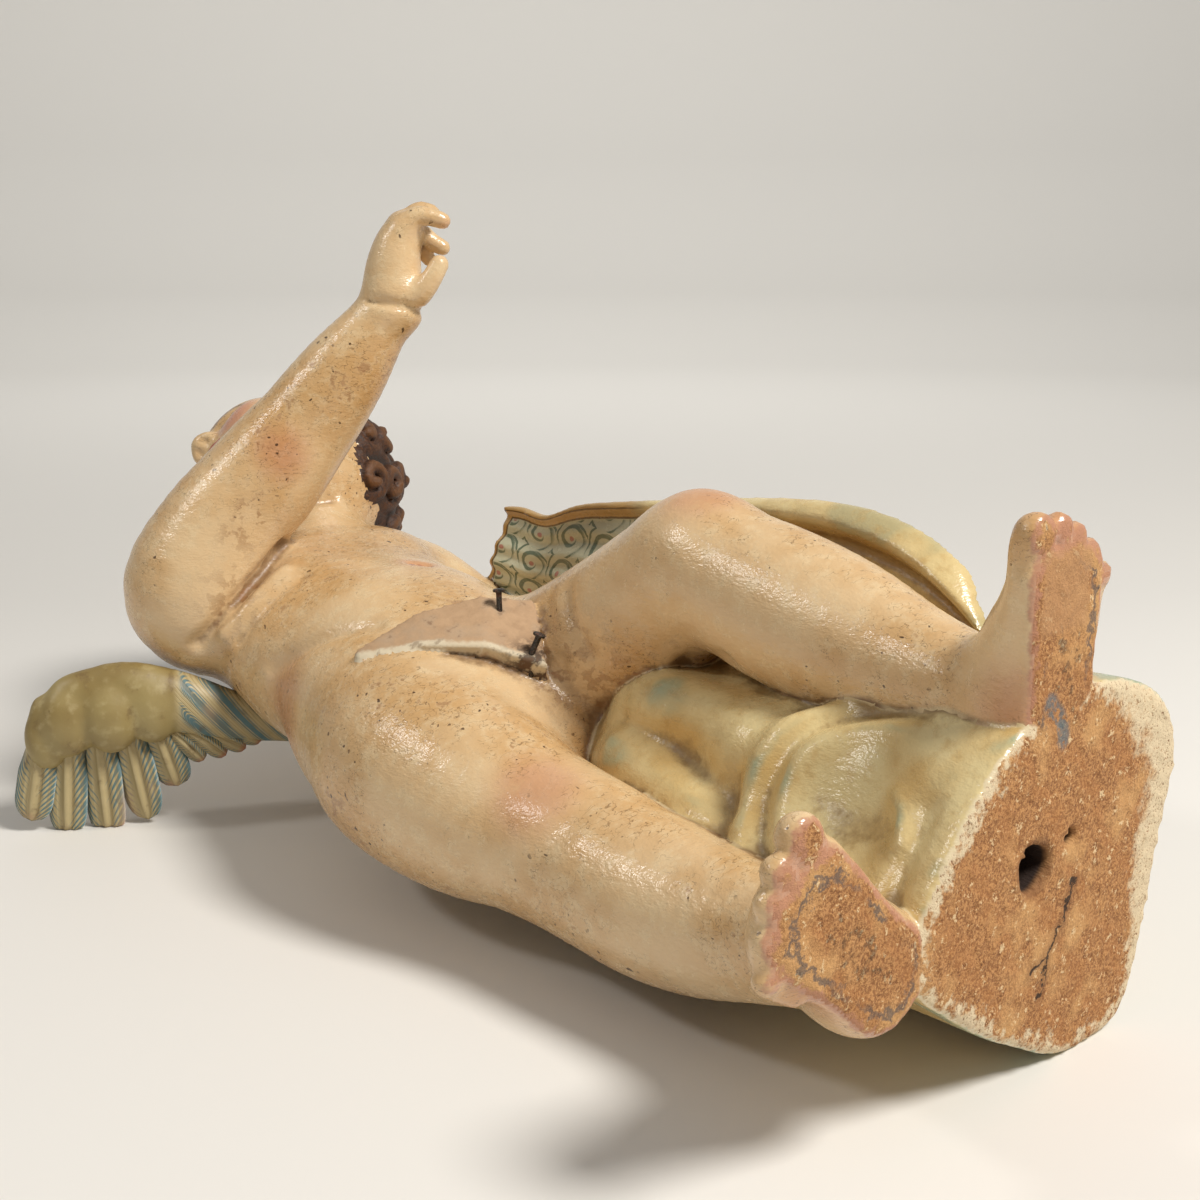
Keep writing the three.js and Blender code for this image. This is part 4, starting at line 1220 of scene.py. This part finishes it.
# %% Wing paint
wing_paint, coat, place = finish_tree("wing_paint")
across, along, *_ = place.mark("feather_place")
fine = place.noise(0.2, 4)
straw = place.noise(0.03, 3).rise(0.35, 0.65).mix(tint("A2905E"), tint("8A7544"))
straw = (fine.rise(0.5, 0.75) * 0.4).mix(straw, tint("C2B284"))
straw = (along.rise(0.02, 0.2) * 0.6).mix(straw, tint("CDBC90"))
hatch = ((along * 90 + across.size() * 26).wave() * 0.3 + across.size() + (fine - 0.5) * 0.7).rise(0.5, 0.85)
blue_share = place.noise(0.035, 1).rise(0.28, 0.46)
straw = (hatch * along.rise(0.12, 0.3) * blue_share * 0.9).mix(straw, tint("44707A"))
rosy_tip = along.rise(0.82, 1.0) * place.noise(0.03, 2).rise(0.45, 0.6)
rose = rosy_tip + hatch * along.rise(0.1, 0.3) * (1 - blue_share) * 0.7
straw = (rose.least(1.0) * 0.75).mix(straw, tint("B56A58"))
# Painted shade: the grooves are painted darker where the bump sinks them.
groove = (across * 14).wave().rise(0.2, 0.95) * along.rise(0.05, 0.2)
straw = (groove * 0.3).mix(straw, tint("8F7440"))
dirt = place.noise(0.12, 5, 0.65).rise(0.56, 0.72)
straw = (dirt * 0.55).mix(straw, tint("6B5230"))
feed(coat, Base_Color=straw, Roughness=0.34 + fine * 0.25)
relief = place.node("ShaderNodeBump", {}, {"Strength": 0.4, "Distance": 0.0006, "Height": fine - groove * 0.6})
feed(coat, Normal=relief)
print("wing paint ready")

# %% [markdown]
# ## Setting the wings in the back
#
# A wing is made flat in its own measure, span by chord, and then turned into its pocket. The left wing lies out
# of sight in the photo, so it is the same wing set in the other side.

# %% The wings
PAD_EGGS = [
    ([84, -17, 0], [15, 10, 8]), ([64, -18, 0], [15, 10, 8]), ([101, 1, 1], [9, 14, 7]),
    ([92, -6, 4], [11, 15, 8]), ([74, -7, 5], [12, 15, 9]), ([57, -9, 4], [11, 14, 8]),
]
FANS = {
    "flight": dict(Count=5, Start=(57, -5, 0), Middle=(82, -8, 0), End=(103, 1, 0),
                   First_Turn=0.25, Last_Turn=-0.2, First_Length=33, Last_Length=38, Swell=19,
                   Width=17, Thickness=8, Tilt=0.25),
    "inner": dict(Count=5, Start=(50, 0, 2), Middle=(38, 0, 3), End=(24, 0, 3),
                  First_Turn=0.7, Last_Turn=1.35, First_Length=20, Last_Length=18, Swell=2,
                  Width=9, Thickness=6, Tilt=0.25),
}


def set_in_back(obj, side):
    """Moves a wing's mesh from its own measure to its place on the back."""
    root, span, chord = WINGS[side]
    axes = wing_axes(span, chord)
    flat = np.zeros(3 * len(obj.data.vertices), np.float32)
    obj.data.vertices.foreach_get("co", flat)
    placed = np.array(root) + flat.reshape(-1, 3) @ axes
    placed[:, 2] = np.maximum(placed[:, 2], 0.4)
    obj.data.vertices.foreach_set("co", to_frame(placed).astype(np.float32).ravel())
    obj.data.update()
    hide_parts("wing_" + side)
    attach(obj, "root")


pad_block = Block([-30, -45, -22], [125, 40, 22], 1.1)
for side in WINGS:
    pad = pad_block.blank()
    add(pad, pad_block.tube([[s, c, 0, thick, wide] for s, c, wide, thick in WING_ARM], UP), 3)
    for centre, radii in PAD_EGGS:
        add(pad, pad_block.egg(centre, radii), 2.2)
    coverts = piece("wing_coverts_" + side, pad_block.skin(pad, "coverts"))
    coverts.data.polygons.foreach_set("use_smooth", [True] * len(coverts.data.polygons))
    coverts.data.materials.append(wing_paint)
    flat = np.zeros(3 * len(coverts.data.vertices), np.float32)
    coverts.data.vertices.foreach_get("co", flat)
    spot = flat.reshape(-1, 3)
    inner_arm = rise(spot[:, 0], 50, 38)
    hatching = np.sin(0.3 * spot[:, 0] + 0.25 * spot[:, 1])
    mark(coverts, "feather_place", "FLOAT_VECTOR", np.stack([hatching, 0.5 * inner_arm, 0 * inner_arm], 1))
    set_in_back(coverts, side)
    for row, sizes in FANS.items():
        feathers = piece("wing_" + row + "_" + side, feather_mesh())
        modifier = feathers.modifiers.new("fan", "NODES")
        modifier.node_group = fan
        for label, value in sizes.items():
            modifier[fan_inputs[label.replace("_", " ")]] = value
        modifier[fan_inputs["Material"]] = wing_paint
        plain_mesh(feathers)
        set_in_back(feathers, side)
    print(side, "wing:", len(coverts.data.polygons), "faces in the pad")

# %% [markdown]
# ## Two nails
#
# Both nails are drawn iron: a round shank and a flat upset head. A profile turned about its axis gives each,
# and the bent one leans over above the wood. The iron is dark, rough and a little rusty.

# %% Iron
iron, coat, place = finish_tree("iron")
pitting = place.noise(1.2, 4, 0.65)
metal = pitting.rise(0.4, 0.65).mix(tint("3B3A38"), tint("5C5650"))
rust = place.noise(0.5, 3).rise(0.52, 0.66)
feed(coat, Base_Color=(rust * 0.7).mix(metal, tint("5A3420")))
feed(coat, Metallic=0.85 - rust * 0.7, Roughness=0.42 + rust * 0.35)
relief = place.node("ShaderNodeBump", {}, {"Strength": 0.5, "Distance": 0.0003, "Height": pitting})
feed(coat, Normal=relief)

# %% [markdown]
# ## Turning the nails
#
# Rings of points from the buried tip to the flat head are joined into one closed skin for each nail.

# %% Nails
NAILS = {
    "nail_upright": ([31, -64, 107.5], [-0.08, 0.02, 1], 9.5),
    "nail_bent": ([53, -66, 97.5], [0.25, 0.3, 0.92], 7.5),
}
NAIL_PROFILE = [(-12, 0.0), (-11.6, 0.5), (-8, 1.0), (-0.2, 1.1), (0, 1.1)]
NAIL_SIDES = 20


def nail(name, foot_point, lean, stands):
    lean = unit(lean)
    rows = [(0.0, level, radius) for level, radius in NAIL_PROFILE]
    rows += [(stands * t, 0.0, 1.1) for t in (0.1, 0.3, 0.6, 0.9)]
    rows += [(stands, 0.0, 1.2), (stands + 0.1, 0.0, 2.2), (stands + 0.9, 0.0, 2.3), (stands + 1.2, 0.0, 1.9),
             (stands + 1.3, 0.0, 0.0)]
    points, faces = [], []
    for reach_up, level, radius in rows:
        centre = np.array(foot_point) + lean * reach_up + UP * level
        for k in range(NAIL_SIDES):
            a = 2 * math.pi * k / NAIL_SIDES
            out = np.array([math.cos(a), math.sin(a), 0])
            tilt = (out @ lean) * (reach_up > 0)
            points.append(centre + radius * (out - tilt * UP))
    for i in range(len(rows) - 1):
        for k in range(NAIL_SIDES):
            a, b = i * NAIL_SIDES + k, i * NAIL_SIDES + (k + 1) % NAIL_SIDES
            faces.append([a, b, b + NAIL_SIDES, a + NAIL_SIDES])
    mesh = bpy.data.meshes.new(name)
    mesh.from_pydata([tuple(p) for p in to_frame(points)], [], faces)
    mesh.validate()
    mesh.polygons.foreach_set("use_smooth", [True] * len(mesh.polygons))
    mesh.set_sharp_from_angle(angle=math.radians(40))
    obj = piece(name + "_iron", mesh)
    mesh.materials.append(iron)
    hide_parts(name)
    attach(obj, "root")


for name, (foot_point, lean, stands) in NAILS.items():
    nail(name, foot_point, lean, stands)
print("nails:", list(NAILS))

# %% [markdown]
# ## Floor and lights
#
# The statue lies on a plain pale floor that sweeps up far away on every side, so no view meets an edge.
# A large soft light stands high on the right, as a window would, with a small one in front that makes the
# varnish glint, and one that only brightens the far sweep of the floor.

# %% Floor
FLOOR_RINGS = [(0.0, 0.0), (1.0, 0.0), (3.0, 0.0), (4.0, 0.15), (4.7, 0.6), (5.1, 1.3), (5.3, 2.4), (5.3, 4.0)]
FLOOR_SIDES = 96
points, faces = [], []
for radius, height in FLOOR_RINGS:
    for k in range(FLOOR_SIDES):
        a = 2 * math.pi * k / FLOOR_SIDES
        points.append((max(radius, 1e-3) * math.cos(a), max(radius, 1e-3) * math.sin(a), height))
for i in range(len(FLOOR_RINGS) - 1):
    for k in range(FLOOR_SIDES):
        a, b = i * FLOOR_SIDES + k, i * FLOOR_SIDES + (k + 1) % FLOOR_SIDES
        faces.append([a, b, b + FLOOR_SIDES, a + FLOOR_SIDES])
faces.append(list(range(FLOOR_SIDES)))
floor_mesh = bpy.data.meshes.new("floor")
floor_mesh.from_pydata(points, [], faces)
floor_mesh.polygons.foreach_set("use_smooth", [True] * len(faces))
floor = piece("floor", floor_mesh)
floor_paint, coat, place = finish_tree("floor_paint")
coat.inputs["Base Color"].default_value = tint("E6E3DD")
coat.inputs["Roughness"].default_value = 0.6
floor.data.materials.append(floor_paint)

# %% [markdown]
# ## Light and camera
#
# The camera stands where the photographer stood, near the soles and a little above them.

# %% Light and camera
CAMERA_AT, CAMERA_TURN, CAMERA_FALL, CAMERA_ANGLE = np.array([467.0, -380, 238]), 50, 13, 45
camera_data = bpy.data.cameras.new("camera")
camera_data.sensor_fit = "HORIZONTAL"
camera_data.angle = math.radians(CAMERA_ANGLE)
camera = piece("camera", camera_data)
camera.location = to_frame(CAMERA_AT)
camera.rotation_euler = (math.radians(90 - CAMERA_FALL), 0, math.radians(CAMERA_TURN))
bpy.context.scene.camera = camera


def lamp(name, spot, towards, size, power, colour):
    data = bpy.data.lights.new(name, "AREA")
    data.shape, data.size, data.energy, data.color = "DISK", size, power, colour
    obj = piece(name, data)
    obj.location = spot
    obj.rotation_euler = (Vector(towards) - Vector(spot)).to_track_quat("-Z", "Y").to_euler()


lamp("window", (1.2, 0.45, 1.7), (0, 0, 0.1), 0.6, 42, (1.0, 0.97, 0.93))
lamp("glint", (-0.8, -1.5, 1.6), (0, 0, 0.1), 0.3, 8, (1.0, 0.98, 0.95))
lamp("backdrop", (-1.2, 1.0, 2.6), (-4.2, 3.4, 1.0), 1.5, 60, (1.0, 0.99, 0.97))
world = bpy.data.worlds.new("studio")
world.use_nodes = True
world.node_tree.nodes["Background"].inputs["Color"].default_value = (0.97, 0.98, 1.0, 1)
world.node_tree.nodes["Background"].inputs["Strength"].default_value = 0.26
bpy.context.scene.world = world
bpy.context.scene.view_settings.view_transform = "Standard"
print("camera at", [round(v, 3) for v in camera.location])
